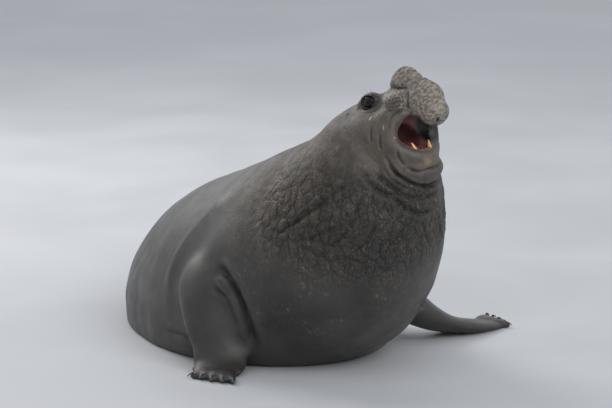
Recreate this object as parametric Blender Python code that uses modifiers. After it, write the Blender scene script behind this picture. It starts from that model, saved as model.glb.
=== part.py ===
"""A bull southern elephant seal at life size, reared up on its fore flippers and roaring.

Metres, +Z up. The hind body lies along +Y and the chest faces -Y, turned towards +X.
A place on the body is given by its run, the distance forward of the fore flippers along
the midline on the floor, by its distance across to the animal's left, and by its height.
The head has a frame of its own: forward, left and up from the middle between the eyes.
"""

import math

import bmesh
import bpy
import numpy as np
from mathutils import Matrix, Vector

# Driving sizes
CHEST = (0.07, 0.10)  # where the midline passes between the fore flippers
GAP = 0.0003  # the gap left where two nodes meet
REST_BAND = 0.035  # height over which the underside rounds off into its flat
SIDES = 32  # points round a trunk section

# Heading of the midline at certain runs, in degrees from -Y towards +X
TURN_RUNS = (-3.6, -2.8, -2.0, -1.5, -1.0, -0.3, 0.3, 0.8, 1.6)
TURNS = (-24.0, -24.0, -18.0, -6.0, 14.0, 33.0, 38.0, 47.0, 47.0)

# Trunk sections from the rump to the throat: run and height of the back, run and height
# of the belly, half width, level of the widest place as a share of the height, and how
# square the section is above and below it
PROFILE = (
    (-3.30, 0.140, -3.30, 0.050, 0.050, 0.50, 2.0, 2.0),
    (-3.12, 0.250, -3.12, 0.000, 0.150, 0.45, 2.0, 2.2),
    (-2.70, 0.380, -2.70, -0.040, 0.300, 0.38, 1.9, 2.6),
    (-2.15, 0.530, -2.15, -0.100, 0.430, 0.36, 1.8, 3.0),
    (-1.60, 0.680, -1.60, -0.180, 0.550, 0.34, 1.75, 3.6),
    (-1.05, 0.835, -1.05, -0.220, 0.645, 0.34, 1.7, 4.2),
    (-0.55, 0.985, -0.55, -0.200, 0.665, 0.34, 1.7, 4.4),
    (-0.24, 1.105, -0.08, -0.120, 0.620, 0.36, 1.8, 3.0),
    (-0.02, 1.185, 0.22, 0.000, 0.560, 0.40, 1.95, 2.2),
    (0.12, 1.242, 0.50, 0.200, 0.515, 0.42, 2.05, 2.1),
    (0.22, 1.305, 0.68, 0.480, 0.460, 0.44, 2.05, 2.1),
    (0.30, 1.380, 0.76, 0.760, 0.385, 0.46, 2.05, 2.0),
    (0.38, 1.430, 0.79, 0.920, 0.315, 0.48, 2.0, 2.0),
    (0.45, 1.440, 0.76, 1.040, 0.250, 0.50, 2.0, 2.0),
    (0.53, 1.410, 0.72, 1.120, 0.150, 0.50, 2.0, 2.0),
)
HEAD_STATION = 11.4  # where the head meets the neck
NECK_STATION = 9.4
CHEST_STATION = 6.0
HIP_STATION = 3.0
THROAT_STATION = 9.9  # how far back the head's forms take in the neck

# Head: the middle between the eyes, its heading and how far the upper jaw is thrown up
HEAD_RUN = 0.55
HEAD_HEIGHT = 1.445
HEAD_TURN = 47.0
HEAD_PITCH = 20.0
EYE = (0.000, 0.102, 0.017)
EYE_RADIUS = 0.044
LID_OPENING = ((0.002, 0.048, 0.001), (0.044, 0.040, 0.031), 12)  # from the eye's centre

# Forms of the head: centre, radii, pitch and yaw. One off the middle has a mirrored twin.
HEAD_FORMS = (
    ("skull", (-0.070, 0.0, -0.085), (0.235, 0.160, 0.135), 4, 0),
    ("brow", (-0.010, 0.092, 0.018), (0.085, 0.052, 0.042), 0, -12),
    ("eyelids", (-0.002, 0.106, 0.016), (0.066, 0.051, 0.053), 0, 0),
    ("cheek", (-0.030, 0.132, -0.175), (0.170, 0.106, 0.155), -35, -4),
    ("snout", (0.085, 0.0, -0.020), (0.170, 0.115, 0.078), -2, 0),
    ("mouth_corner", (0.100, 0.120, -0.100), (0.082, 0.068, 0.070), 0, 0),
    ("whisker_pad", (0.130, 0.080, -0.045), (0.110, 0.064, 0.070), 12, 8),
    ("nose_root", (0.172, 0.0, 0.053), (0.086, 0.086, 0.098), -10, 0),
    ("nose_fold", (0.210, 0.0, 0.010), (0.076, 0.096, 0.090), -40, 0),
    ("nose_bulb", (0.260, 0.0, -0.052), (0.102, 0.112, 0.110), -20, 0),
    ("nose_tip", (0.302, 0.0, -0.121), (0.074, 0.092, 0.074), -20, 0),
    ("mandible", (0.020, 0.0, -0.300), (0.165, 0.195, 0.178), 0, 0),
    ("chin", (0.112, 0.0, -0.352), (0.066, 0.100, 0.060), -25, 0),
)
# The roll of skin under the jaw, pushed out to the left by the turn of the head
THROAT_ROLL = ("throat_roll", (0.085, 0.055, -0.378), (0.085, 0.135, 0.074), 0, 0)

# The rolled rim of the mouth, from under the nose round the corner to the middle of the
# lower lip: forward, left and up, and how thick it is there
LIPS = (
    (0.205, 0.080, -0.072, 0.030),
    (0.168, 0.124, -0.100, 0.036),
    (0.128, 0.154, -0.145, 0.040),
    (0.108, 0.163, -0.200, 0.042),
    (0.114, 0.145, -0.252, 0.040),
    (0.142, 0.106, -0.294, 0.037),
    (0.164, 0.052, -0.322, 0.035),
    (0.170, 0.000, -0.329, 0.034),
)
GAPE_FORMS = (
    ("mouth_front", (0.170, 0.0, -0.184), (0.125, 0.130, 0.100), -24, 0),
    ("mouth_back", (0.040, 0.0, -0.190), (0.130, 0.096, 0.070), -24, 0),
)

# Teeth: root, radius at the gum and length, then how far the tip leans back and aside
LOWER_CANINE = ((0.167, 0.055, -0.306), 0.016, 0.064)
LOWER_CANINE_LEAN = (-0.004, 0.012)
UPPER_CANINE = ((0.172, 0.060, -0.076), 0.014, 0.060)
UPPER_CANINE_LEAN = (-0.006, 0.0)
INCISOR_PLACES = ((0.178, 0.013), (0.175, 0.031))
INCISOR = (0.006, 0.030)
INCISOR_LEAN = (-0.002, 0.0)
GUM = ((0.134, 0.0, -0.301), (0.050, 0.074, 0.022), -20)
TONGUE = ((0.060, 0.0, -0.264), (0.115, 0.060, 0.034), -30)

# Pits: centre, radii and pitch, and how far each is turned out to its side
NOSTRIL = ((0.372, 0.036, -0.118), (0.030, 0.009, 0.022), -35, 12)
EAR = ((-0.130, 0.155, -0.010), (0.008, 0.030, 0.006), 0, -20)

# Where the nose and the lower jaw part from the head, as forward, up outlines
NOSE_CUT = (
    (0.045, 0.300),
    (0.072, 0.070),
    (0.245, -0.110),
    (0.245, -0.600),
    (0.800, -0.600),
    (0.800, 0.300),
)
JAW_CUT = (
    (0.070, -0.205),
    (0.800, -0.205),
    (0.800, -1.000),
    (0.000, -1.000),
)

# Fore flippers: centre of each section, half its width and thickness, and its width axis
RIGHT_ARM = (
    (-0.36, 0.14, 0.58, 0.17, 0.12, 0.92, -0.39),
    (-0.47, -0.02, 0.44, 0.215, 0.14, 0.95, -0.30),
    (-0.482, -0.13, 0.28, 0.178, 0.118, 0.98, -0.15),
    (-0.455, -0.21, 0.135, 0.150, 0.085, 1.0, 0.0),
    (-0.455, -0.29, 0.050, 0.150, 0.052, 1.0, 0.05),
    (-0.475, -0.37, 0.024, 0.140, 0.032, 1.0, 0.08),
    (-0.482, -0.42, 0.015, 0.115, 0.018, 1.0, 0.08),
)
LEFT_ARM = (
    (0.34, 0.32, 0.40, 0.18, 0.13, 0.40, -0.90),
    (0.50, 0.40, 0.26, 0.17, 0.115, 0.45, -0.87),
    (0.645, 0.47, 0.145, 0.145, 0.080, 0.60, -0.80),
    (0.765, 0.55, 0.075, 0.130, 0.054, 0.75, -0.65),
    (0.890, 0.635, 0.040, 0.135, 0.040, 0.77, -0.63),
    (0.990, 0.740, 0.024, 0.132, 0.026, 0.77, -0.63),
    (1.050, 0.805, 0.015, 0.110, 0.015, 0.77, -0.63),
)

# Digits: place across the hand from the leading edge, as a share of its half width, how
# far the tip reaches past the last section of the arm, and how far it spreads sideways
LEADING = (1, -1)  # which way across each hand its first digit lies, right then left
DIGITS = (
    (0.80, 0.130, 0.030),
    (0.42, 0.115, 0.012),
    (0.02, 0.090, -0.004),
    (-0.38, 0.060, -0.018),
    (-0.76, 0.025, -0.035),
)
DIGIT_RADII = (0.034, 0.030, 0.018)  # at the root, the middle and the tip
NAIL = (0.024, 0.0085, 0.006)  # half length, half width and half height

# Hind flippers in the body's own places: run, across and height of each section's
# centre, half its width and thickness, and its width axis across and up
HIND_FOOT = (
    (-2.98, 0.075, 0.125, 0.085, 0.075, 0.85, -0.50),
    (-3.16, 0.130, 0.110, 0.085, 0.055, 0.85, -0.50),
    (-3.30, 0.185, 0.100, 0.110, 0.036, 0.86, -0.46),
    (-3.44, 0.245, 0.090, 0.135, 0.024, 0.88, -0.42),
    (-3.55, 0.290, 0.082, 0.150, 0.014, 0.90, -0.38),
)
HIND_DIGITS = (
    (0.86, 0.20, 0.050),
    (0.46, 0.10, 0.020),
    (0.03, 0.06, 0.002),
    (-0.42, 0.10, -0.018),
    (-0.84, 0.20, -0.050),
)
HIND_RADII = (0.024, 0.022, 0.013)
TAIL = (-3.36, 0.10, 0.16, 0.034, 0.020)  # run, height, half length, width and thickness

# How finely each skin is grown, how often it is softened and how many triangles it keeps
HEAD_SKIN = (0.0085, 10, 4800)
ARM_SKIN = (0.007, 3, 1850)
FOOT_SKIN = (0.007, 3, 900)

# Finish of each node: colour, roughness
FINISH = {
    "skin": ((0.060, 0.055, 0.050), 0.45),
    "neck": ((0.085, 0.074, 0.062), 0.60),
    "nose": ((0.160, 0.142, 0.122), 0.65),
    "eye": ((0.006, 0.005, 0.005), 0.05),
    "mouth": ((0.085, 0.028, 0.030), 0.30),
}
NODE_FINISH = {
    "head": "neck", "neck": "neck", "chest": "skin", "proboscis": "nose", "lower_jaw": "neck",
    "eye_left": "eye", "eye_right": "eye", "tongue": "mouth",
}


def spline(rows, at):
    """Rows of values read at fractional places along a smooth curve through them all."""
    rows = np.asarray(rows, float)
    at = np.atleast_1d(np.asarray(at, float))
    ends = np.concatenate([2 * rows[:1] - rows[1:2], rows, 2 * rows[-1:] - rows[-2:-1]])
    index = np.clip(np.floor(at).astype(int), 0, len(rows) - 2)
    t = (at - index)[:, None]
    a, b, c, d = (ends[index + k] for k in range(4))
    return 0.5 * (2 * b + (c - a) * t + (2 * a - 5 * b + 4 * c - d) * t**2
                  + (3 * b - a - 3 * c + d) * t**3)


def midline():
    """Runs, and the midline's place on the floor and heading at each."""
    runs = np.linspace(-4.2, 1.6, 581)
    places = np.interp(runs, TURN_RUNS, range(len(TURN_RUNS)))
    turn = np.radians(spline(np.array(TURNS)[:, None], places)[:, 0])
    step = runs[1] - runs[0]
    x = np.cumsum(np.sin(turn)) * step
    y = -np.cumsum(np.cos(turn)) * step
    x += CHEST[0] - np.interp(0.0, runs, x)
    y += CHEST[1] - np.interp(0.0, runs, y)
    return runs, x, y, turn


MIDLINE = midline()


def place(base, run, across, z):
    """Points at a run, a distance across and a height, set square to the midline at base."""
    runs, x, y, turns = MIDLINE
    turn = np.interp(base, runs, turns)
    ahead = run - base
    return np.stack([
        np.interp(base, runs, x) + ahead * np.sin(turn) + across * np.cos(turn),
        np.interp(base, runs, y) - ahead * np.cos(turn) + across * np.sin(turn),
        z + 0 * across,
    ], axis=-1)


def settled(z):
    """Heights pressed flat on the floor, rounding off over the rest band."""
    band = REST_BAND
    return np.where(z > band, z, np.where(z < -band, 0.0, (z + band) ** 2 / (4 * band)))


def trunk_rings(stations, sides=SIDES):
    """Sections of the trunk, one for each fractional station of the profile."""
    columns = spline(PROFILE, stations).T[:, :, None]
    back_run, back_z, belly_run, belly_z, wide, widest, above, below = columns
    angle = np.linspace(0, 2 * math.pi, sides, endpoint=False)[None, :]
    square = np.where(np.cos(angle) > 0, above, below)
    up = np.sign(np.cos(angle)) * np.abs(np.cos(angle)) ** (2 / square)
    side = np.sign(np.sin(angle)) * np.abs(np.sin(angle)) ** (2 / square)
    level = widest + np.where(up > 0, 1 - widest, widest) * up
    run = belly_run + level * (back_run - belly_run)
    z = settled(belly_z + level * (back_z - belly_z))
    base = (back_run + belly_run) / 2 + 0 * run
    return place(base, run, wide * side, z)


def loft(name, rings):
    """A closed skin through sections of equally many points, with a flat cap at each end."""
    count, sides = rings.shape[:2]
    at = np.arange(count * sides).reshape(count, sides)
    nxt = np.roll(at, -1, axis=1)
    halves = np.stack([at[:-1], nxt[:-1], nxt[1:], at[:-1], nxt[1:], at[1:]], axis=-1)
    faces = halves.reshape(-1, 3).tolist() + [at[0].tolist(), at[-1][::-1].tolist()]
    mesh = bpy.data.meshes.new(name)
    mesh.from_pydata(rings.reshape(-1, 3).tolist(), [], faces)
    tidy = bmesh.new()
    tidy.from_mesh(mesh)
    bmesh.ops.recalc_face_normals(tidy, faces=tidy.faces)
    tidy.to_mesh(mesh)
    tidy.free()
    return bpy.data.objects.new(name, mesh)


def head_frame():
    """The head's own axes, forward, left and up, at the middle between the eyes."""
    turn, pitch = math.radians(HEAD_TURN), math.radians(HEAD_PITCH)
    ahead = Vector((math.sin(turn), -math.cos(turn), 0))
    left = Vector((math.cos(turn), math.sin(turn), 0))
    forward = ahead * math.cos(pitch) + Vector((0, 0, math.sin(pitch)))
    up = forward.cross(left)
    origin = place(np.array(HEAD_RUN), np.array(HEAD_RUN), np.array(0.0), np.array(HEAD_HEIGHT))
    axes = Matrix((forward, left, up)).transposed().to_4x4()
    return Matrix.Translation(Vector(origin.tolist())) @ axes


HEAD = head_frame()


def egg(name, centre, radii, pitch=0.0, yaw=0.0, frame=HEAD, segments=28):
    """A closed ellipsoid in a frame, its nose turned up by pitch and left by yaw."""
    turn = Matrix.Rotation(math.radians(yaw), 4, "Z") @ Matrix.Rotation(-math.radians(pitch), 4, "Y")
    ball = bmesh.new()
    bmesh.ops.create_uvsphere(ball, u_segments=segments, v_segments=segments * 2 // 3, radius=1)
    shape = frame @ Matrix.Translation(centre) @ turn @ Matrix.Diagonal((*radii, 1))
    bmesh.ops.transform(ball, matrix=shape, verts=ball.verts)
    mesh = bpy.data.meshes.new(name)
    ball.to_mesh(mesh)
    ball.free()
    return bpy.data.objects.new(name, mesh)


def eggs(forms):
    """Every form of a list, with a mirrored twin for each one off the middle."""
    made = []
    for name, (x, y, z), radii, pitch, yaw in forms:
        made.append(egg(name, (x, y, z), radii, pitch, yaw))
        if y:
            made.append(egg(name + "_right", (x, -y, z), radii, pitch, -yaw))
    return made


def lips():
    """The rim of the mouth as a bent rod on each side, meeting at the lower lip."""
    rods = []
    for side in (1, -1):
        path = np.array([list(HEAD @ Vector((x, side * y, z))) for x, y, z, _ in LIPS])
        rods.append(rounded("lips", path, [row[3] for row in LIPS], 16, 26))
    return rods


def bake(obj):
    """Applies an object's modifiers."""
    graph = bpy.context.evaluated_depsgraph_get()
    graph.update()
    mesh = bpy.data.meshes.new_from_object(obj.evaluated_get(graph))
    obj.modifiers.clear()
    old = obj.data
    obj.data = mesh
    bpy.data.meshes.remove(old)


def combine(whole, operation, tools):
    """Joins or cuts an object with others, which are then removed."""
    group = bpy.data.collections.new("tools")
    bpy.context.scene.collection.children.link(group)
    for tool in tools:
        group.objects.link(tool)
    change = whole.modifiers.new("change", "BOOLEAN")
    change.operation = operation
    change.solver = "MANIFOLD"
    change.operand_type = "COLLECTION"
    change.collection = group
    bake(whole)
    for tool in tools:
        bpy.data.objects.remove(tool)
    bpy.data.collections.remove(group)


def grown_together(name, forms, cuts, voxel, rounds, triangles):
    """Forms joined, cut, grown into one smooth skin and thinned to fewer faces."""
    whole = forms[0]
    whole.name = name
    bpy.context.scene.collection.objects.link(whole)
    combine(whole, "UNION", forms[1:])
    if cuts:
        combine(whole, "DIFFERENCE", cuts)
    grow = whole.modifiers.new("grow", "REMESH")
    grow.mode = "VOXEL"
    grow.voxel_size = voxel
    soften = whole.modifiers.new("soften", "SMOOTH")
    soften.iterations = rounds
    soften.factor = 0.5
    bake(whole)
    thin = whole.modifiers.new("thin", "DECIMATE")
    thin.ratio = triangles / (2 * len(whole.data.polygons))
    bake(whole)
    return whole


def unit(rows):
    """Each row of vectors at length one."""
    return rows / np.linalg.norm(rows, axis=-1, keepdims=True)


def tube(name, rows, wide, sides):
    """A flattened tube: centre, half width and half thickness of each section, and its
    width axis, all square to the way it runs."""
    along = unit(np.gradient(rows[:, :3], axis=0))
    wide = unit(wide - (wide * along).sum(axis=1, keepdims=True) * along)
    thick = np.cross(along, wide)
    angle = np.linspace(0, 2 * math.pi, sides, endpoint=False)[None, :, None]
    rings = (rows[:, None, :3] + rows[:, None, 3:4] * np.cos(angle) * wide[:, None, :]
             + rows[:, None, 4:5] * np.sin(angle) * thick[:, None, :])
    return loft(name, rings)


def rounded(name, path, radii, sides=12, count=9):
    """A round rod through a few points, drawn in to a blunt point at its far end."""
    at = np.linspace(0, len(path) - 1, count)
    rows = np.concatenate([spline(path, at), spline(np.array(radii)[:, None], at)], axis=1)
    tip = rows[-1] + (rows[-1] - rows[-2]) * 0.35
    tip[3] = rows[-1, 3] * 0.45
    rows = np.concatenate([rows, tip[None]])
    rows = np.concatenate([rows, rows[:, 3:4]], axis=1)
    wide = np.tile([0.31, -0.95, 0.02], (len(rows), 1))
    return tube(name, rows, wide, sides)


def paddle(name, rows, wide, digits, radii, sole, nails):
    """The forms of a flipper: its flattened limb, five digits fanned out past the end of
    it with their roots inside, the web between them, and a nail on top of each."""
    end, before = rows[-1], rows[-2]
    along = unit(end[:3] - before[:3])
    across = unit(wide[-1] - (wide[-1] @ along) * along)
    over = np.cross(across, along)
    over *= 1 if over[2] > 0 else -1
    forms = [tube(name, rows, wide, 18)]
    tips = []
    for number, (share, reach, spread) in enumerate(digits):
        tip = end[:3] + across * (share * end[3] + spread) + along * reach
        middle = end[:3] + across * share * end[3] * 1.02 + along * reach * 0.25
        root = rows[-3, :3] + across * share * rows[-3, 3] * 0.72
        path = np.array([root, middle, tip])
        path[1:, 2] = np.maximum(path[1:, 2], radii[2] * sole)
        forms.append(rounded(f"{name}_digit_{number}", path, radii))
        tips.append(path)
    for number, (one, two) in enumerate(zip(tips, tips[1:])):
        outer = (one[2] * 0.5 + two[2] * 0.5) * 0.45 + (one[1] + two[1]) * 0.275
        inner = (one[0] + two[0]) / 2
        web = np.array([np.concatenate([inner, [0.045, 0.014]]),
                        np.concatenate([(one[1] + two[1]) / 2, [0.045, 0.011]]),
                        np.concatenate([outer, [0.030, 0.008]])])
        forms.append(tube(f"{name}_web_{number}", web, np.tile(across, (3, 1)), 10))
    for number, path in enumerate(tips if nails else []):
        reach = unit(path[2] - path[1])
        side = unit(np.cross(over, reach))
        top = np.cross(reach, side)
        axes = Matrix(np.stack([reach, side, top], axis=1).tolist()).to_4x4()
        seat = path[2] + reach * radii[2] * 0.1 + top * radii[2] * 0.85
        frame = Matrix.Translation(Vector(seat.tolist())) @ axes
        forms.append(egg(f"{name}_nail_{number}", (0, 0, 0), NAIL, -14, 0, frame, 12))
    return forms


def arm(name, sections, leading):
    """A fore flipper's forms: upper arm, forearm and a hand spread flat on the floor."""
    rows = spline(sections, np.linspace(0, len(sections) - 1, 22))
    wide = np.concatenate([rows[:, 5:7], 0 * rows[:, :1]], axis=1) * leading
    return paddle(name, rows[:, :5], wide, DIGITS, DIGIT_RADII, 0.9, True)


def foot(name, side):
    """A hind flipper's forms: five digits in a fan, the outer two the longest."""
    rows = spline(HIND_FOOT, np.linspace(0, len(HIND_FOOT) - 1, 12))
    base = np.full(len(rows), -3.1)
    rows[:, :3] = place(base, rows[:, 0], side * rows[:, 1], rows[:, 2])
    ahead = place(base, base, side * rows[:, 5], rows[:, 6]) - place(base, base, 0 * base, 0 * base)
    return paddle(name, rows[:, :5], ahead, HIND_DIGITS, HIND_RADII, 0.2, False)


def prism(name, outline, shift, half=0.7):
    """A block whose side view in the head's frame is an outline of forward, up points."""
    count = len(outline)
    rings = np.array([[[x + shift[0], y, z + shift[1]] for x, z in outline] for y in (-half, half)])
    points = np.concatenate([rings.reshape(-1, 3), np.ones((2 * count, 1))], axis=1)
    points = (points @ np.array(HEAD).T)[:, :3].reshape(2, count, 3)
    return loft(name, points)


def slab(name, point, normal, size=6.0):
    """A big block with one face through a point, reaching off along a direction."""
    frame = Matrix.Translation(point) @ normal.to_track_quat("Z", "Y").to_matrix().to_4x4()
    block = bmesh.new()
    lift = Matrix.Translation((0, 0, size / 2))
    bmesh.ops.create_cube(block, size=size, matrix=frame @ lift)
    mesh = bpy.data.meshes.new(name)
    block.to_mesh(mesh)
    block.free()
    return bpy.data.objects.new(name, mesh)


def copy_of(obj, name):
    """A second object of the same shape."""
    twin = bpy.data.objects.new(name, obj.data.copy())
    bpy.context.scene.collection.objects.link(twin)
    return twin


def keep_largest(obj):
    """Leaves only the biggest of an object's closed surfaces."""
    work = bmesh.new()
    work.from_mesh(obj.data)
    waiting = set(work.verts)
    islands = []
    while waiting:
        reached = [waiting.pop()]
        for vert in reached:
            for edge in vert.link_edges:
                other = edge.other_vert(vert)
                if other in waiting:
                    waiting.remove(other)
                    reached.append(other)
        islands.append(reached)
    islands.sort(key=len)
    spare = [vert for island in islands[:-1] for vert in island]
    bmesh.ops.delete(work, geom=spare, context="VERTS")
    work.to_mesh(obj.data)
    work.free()


def grown(obj, name):
    """A copy of an object pushed out all round by the gap between nodes."""
    twin = copy_of(obj, name)
    swell = twin.modifiers.new("swell", "DISPLACE")
    swell.strength = GAP
    swell.mid_level = 0.0
    bake(twin)
    bpy.context.scene.collection.objects.unlink(twin)
    return twin


def ring_plane(station):
    """A point on the plane of a trunk section, and the plane's normal towards the head."""
    ring = trunk_rings([station])[0]
    count = len(ring)
    top, side = ring[0] - ring[count // 2], ring[count // 4] - ring[3 * count // 4]
    normal = Vector(np.cross(top, side).tolist()).normalized()
    ahead = trunk_rings([station + 0.2])[0].mean(axis=0) - ring.mean(axis=0)
    if normal.dot(Vector(ahead.tolist())) < 0:
        normal.negate()
    return Vector(ring.mean(axis=0).tolist()), normal


def stretch(name, first, last, count):
    """A length of the trunk between two stations, drawn back from each by half the gap."""
    rings = trunk_rings(np.linspace(first, last, count))
    for station, row, sign in ((first, 0, 1), (last, -1, -1)):
        if 0 < station:
            rings[row] += sign * GAP / 2 * np.array(ring_plane(station)[1])
    return loft(name, rings)


def tooth(name, root, radius, length, lean, splay, up):
    """A curved cone standing on a jaw, its tip leaning back and out to the side."""
    x, y, z = root
    path = [(x, y, z), (x + lean * 0.4, y + splay * 0.3, z + up * length * 0.5),
            (x + lean, y + splay, z + up * length)]
    world = [list(HEAD @ Vector(point)) for point in path]
    return rounded(name, np.array(world), (radius, radius * 0.8, radius * 0.32), 10, 5)


def lower_teeth():
    """The two canines, the small incisors between them and the gum they stand in."""
    (x, y, z), radius, length = LOWER_CANINE
    lean, splay = LOWER_CANINE_LEAN
    forms = [egg("gum", *GUM)]
    for side in (1, -1):
        root = (x, side * y, z)
        forms.append(tooth("canine", root, radius, length, lean, side * splay, 1))
        for forward, across in INCISOR_PLACES:
            root = (forward, side * across, z)
            forms.append(tooth("incisor", root, *INCISOR, *INCISOR_LEAN, 1))
    return forms


def upper_teeth():
    """The two upper canines."""
    (x, y, z), radius, length = UPPER_CANINE
    forms = []
    for side in (1, -1):
        root = (x, side * y, z)
        forms.append(tooth("canine", root, radius, length, *UPPER_CANINE_LEAN, -1))
    return forms


def pits():
    """What the eye sockets, the openings of the lids, the nostrils and the ears are cut with."""
    x, y, z = EYE
    ahead, out, up = LID_OPENING[0]
    forms = []
    for side in (1, -1):
        forms.append(egg("socket", (x, side * y, z), (EYE_RADIUS + GAP,) * 3, 0, side * 60, segments=20))
        lids = (x + ahead, side * (y + out), z + up)
        forms.append(egg("lids", lids, LID_OPENING[1], LID_OPENING[2], 0, segments=20))
        for name, (centre, radii, pitch, yaw) in (("nostril", NOSTRIL), ("ear", EAR)):
            place_of = (centre[0], side * centre[1], centre[2])
            forms.append(egg(name, place_of, radii, pitch, side * yaw, segments=12))
    return forms


def head_nodes():
    """The head grown together, then parted into head, nose, lower jaw and tongue."""
    forms = eggs(HEAD_FORMS) + lips() + [egg(*THROAT_ROLL)]
    rings = trunk_rings(np.linspace(THROAT_STATION, len(PROFILE) - 1, 24), 40)
    forms.append(loft("throat", rings))
    whole = grown_together("head", forms, eggs(GAPE_FORMS), *HEAD_SKIN)
    combine(whole, "DIFFERENCE", pits())
    point, normal = ring_plane(HEAD_STATION)
    combine(whole, "INTERSECT", [slab("front", point + normal * GAP / 2, normal)])
    keep_largest(whole)
    nose = copy_of(whole, "proboscis")
    jaw = copy_of(whole, "lower_jaw")
    combine(nose, "INTERSECT", [prism("nose_cut", NOSE_CUT, (0.0, 0.0))])
    combine(jaw, "INTERSECT", [prism("jaw_cut", JAW_CUT, (0.0, 0.0))])
    combine(whole, "DIFFERENCE", [prism("nose_cut", NOSE_CUT, (-GAP, -GAP))])
    combine(whole, "DIFFERENCE", [prism("jaw_cut", JAW_CUT, (-GAP, GAP))])
    for node in (nose, jaw, whole):
        keep_largest(node)
    combine(jaw, "UNION", lower_teeth())
    combine(whole, "UNION", upper_teeth())
    for node in (jaw, whole):
        combine(node, "DIFFERENCE", [tongue("seat", GAP)])
        keep_largest(node)
    flesh = tongue("tongue")
    bpy.context.scene.collection.objects.link(flesh)
    return [whole, nose, jaw, flesh]


def tongue(name, extra=0.0):
    """The tongue, seated in the floor of the mouth, or what its seat is cut with."""
    centre, radii, pitch = TONGUE
    return egg(name, centre, [radius + extra for radius in radii], pitch, segments=18)


def eyeballs():
    """The two round eyes in their sockets."""
    x, y, z = EYE
    made = []
    for side, name in ((1, "eye_left"), (-1, "eye_right")):
        ball = egg(name, (x, side * y, z), (EYE_RADIUS,) * 3, 0, side * 60, segments=20)
        bpy.context.scene.collection.objects.link(ball)
        made.append(ball)
    return made


def flipper(name, forms, trunk, skin):
    """A flipper grown together, flat where it meets the floor, and parted from the body."""
    whole = grown_together(name, forms, [], *skin)
    combine(whole, "INTERSECT", [slab("floor", Vector((0, 0, 0)), Vector((0, 0, 1)), 8.0)])
    combine(whole, "DIFFERENCE", [grown(trunk, "clearance")])
    keep_largest(whole)
    return whole


def tail(trunk):
    """The short flat tail between the hind flippers."""
    run, height, length, wide, thick = TAIL
    base = np.array(-3.1)
    centre = Vector(place(base, np.array(run), np.array(0.0), np.array(height)).tolist())
    ahead = place(base, base + 1, 0 * base, base) - place(base, base, 0 * base, base)
    turn = math.atan2(ahead[1], ahead[0])
    frame = Matrix.Translation(centre) @ Matrix.Rotation(turn, 4, "Z")
    shape = egg("tail", (0, 0, 0), (length, wide, thick), 12, 0, frame, 18)
    bpy.context.scene.collection.objects.link(shape)
    combine(shape, "DIFFERENCE", [grown(trunk, "clearance")])
    keep_largest(shape)
    return shape


def finish(node):
    """Gives a node its own material, and smooth shading."""
    colour, roughness = FINISH[NODE_FINISH.get(node.name, "skin")]
    material = bpy.data.materials.new(node.name)
    material.use_nodes = True
    shader = material.node_tree.nodes["Principled BSDF"]
    shader.inputs["Base Color"].default_value = (*colour, 1)
    shader.inputs["Roughness"].default_value = roughness
    shader.inputs["Metallic"].default_value = 0.0
    node.data.materials.clear()
    node.data.materials.append(material)
    node.data.polygons.foreach_set("use_smooth", [True] * len(node.data.polygons))


def centred(nodes):
    """Moves every node so that the middle of their bounding box stands over the origin."""
    points = np.concatenate([[v.co[:] for v in node.data.vertices] for node in nodes])
    low, high = points.min(axis=0), points.max(axis=0)
    move = Vector((-(low[0] + high[0]) / 2, -(low[1] + high[1]) / 2, -low[2]))
    for node in nodes:
        node.data.transform(Matrix.Translation(move))
    return move


def main():
    for old in list(bpy.data.objects):
        bpy.data.objects.remove(old)
    seal = bpy.data.collections.new("elephant_seal")
    bpy.context.scene.collection.children.link(seal)
    lengths = (
        ("hindquarters", 0, HIP_STATION, 13),
        ("torso", HIP_STATION, CHEST_STATION, 12),
        ("chest", CHEST_STATION, NECK_STATION, 15),
        ("neck", NECK_STATION, HEAD_STATION, 9),
    )
    nodes = [stretch(*length) for length in lengths]
    stations = [np.linspace(first, last, count)[:-1] for _, first, last, count in lengths[:3]]
    stations.append([NECK_STATION])
    trunk = loft("trunk", trunk_rings(np.concatenate(stations)))
    for made in nodes + [trunk]:
        bpy.context.scene.collection.objects.link(made)
    nodes += head_nodes() + eyeballs()
    nodes.append(flipper("foreflipper_right", arm("arm", RIGHT_ARM, LEADING[0]), trunk, ARM_SKIN))
    nodes.append(flipper("foreflipper_left", arm("arm", LEFT_ARM, LEADING[1]), trunk, ARM_SKIN))
    nodes.append(flipper("hindflipper_right", foot("foot", -1), trunk, FOOT_SKIN))
    nodes.append(flipper("hindflipper_left", foot("foot", 1), trunk, FOOT_SKIN))
    nodes.append(tail(trunk))
    bpy.data.objects.remove(trunk)
    centred(nodes)
    for node in nodes:
        bpy.context.scene.collection.objects.unlink(node)
        seal.objects.link(node)
        finish(node)


main()
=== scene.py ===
"""The hide, face and finish of a bull southern elephant seal, reared up and roaring.

Metres, +Z up. The shapes are worked out about the animal's own midline, and each finished
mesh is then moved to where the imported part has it. A place on the body is given by its run,
the distance forward of the fore flippers along the midline on the floor, by its distance
across to the animal's left, and by its height. The head has a frame of its own: forward,
left and up from the middle between the eyes.
"""

import math

import bmesh
import bpy
import numpy as np
from mathutils import Matrix, Vector


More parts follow.
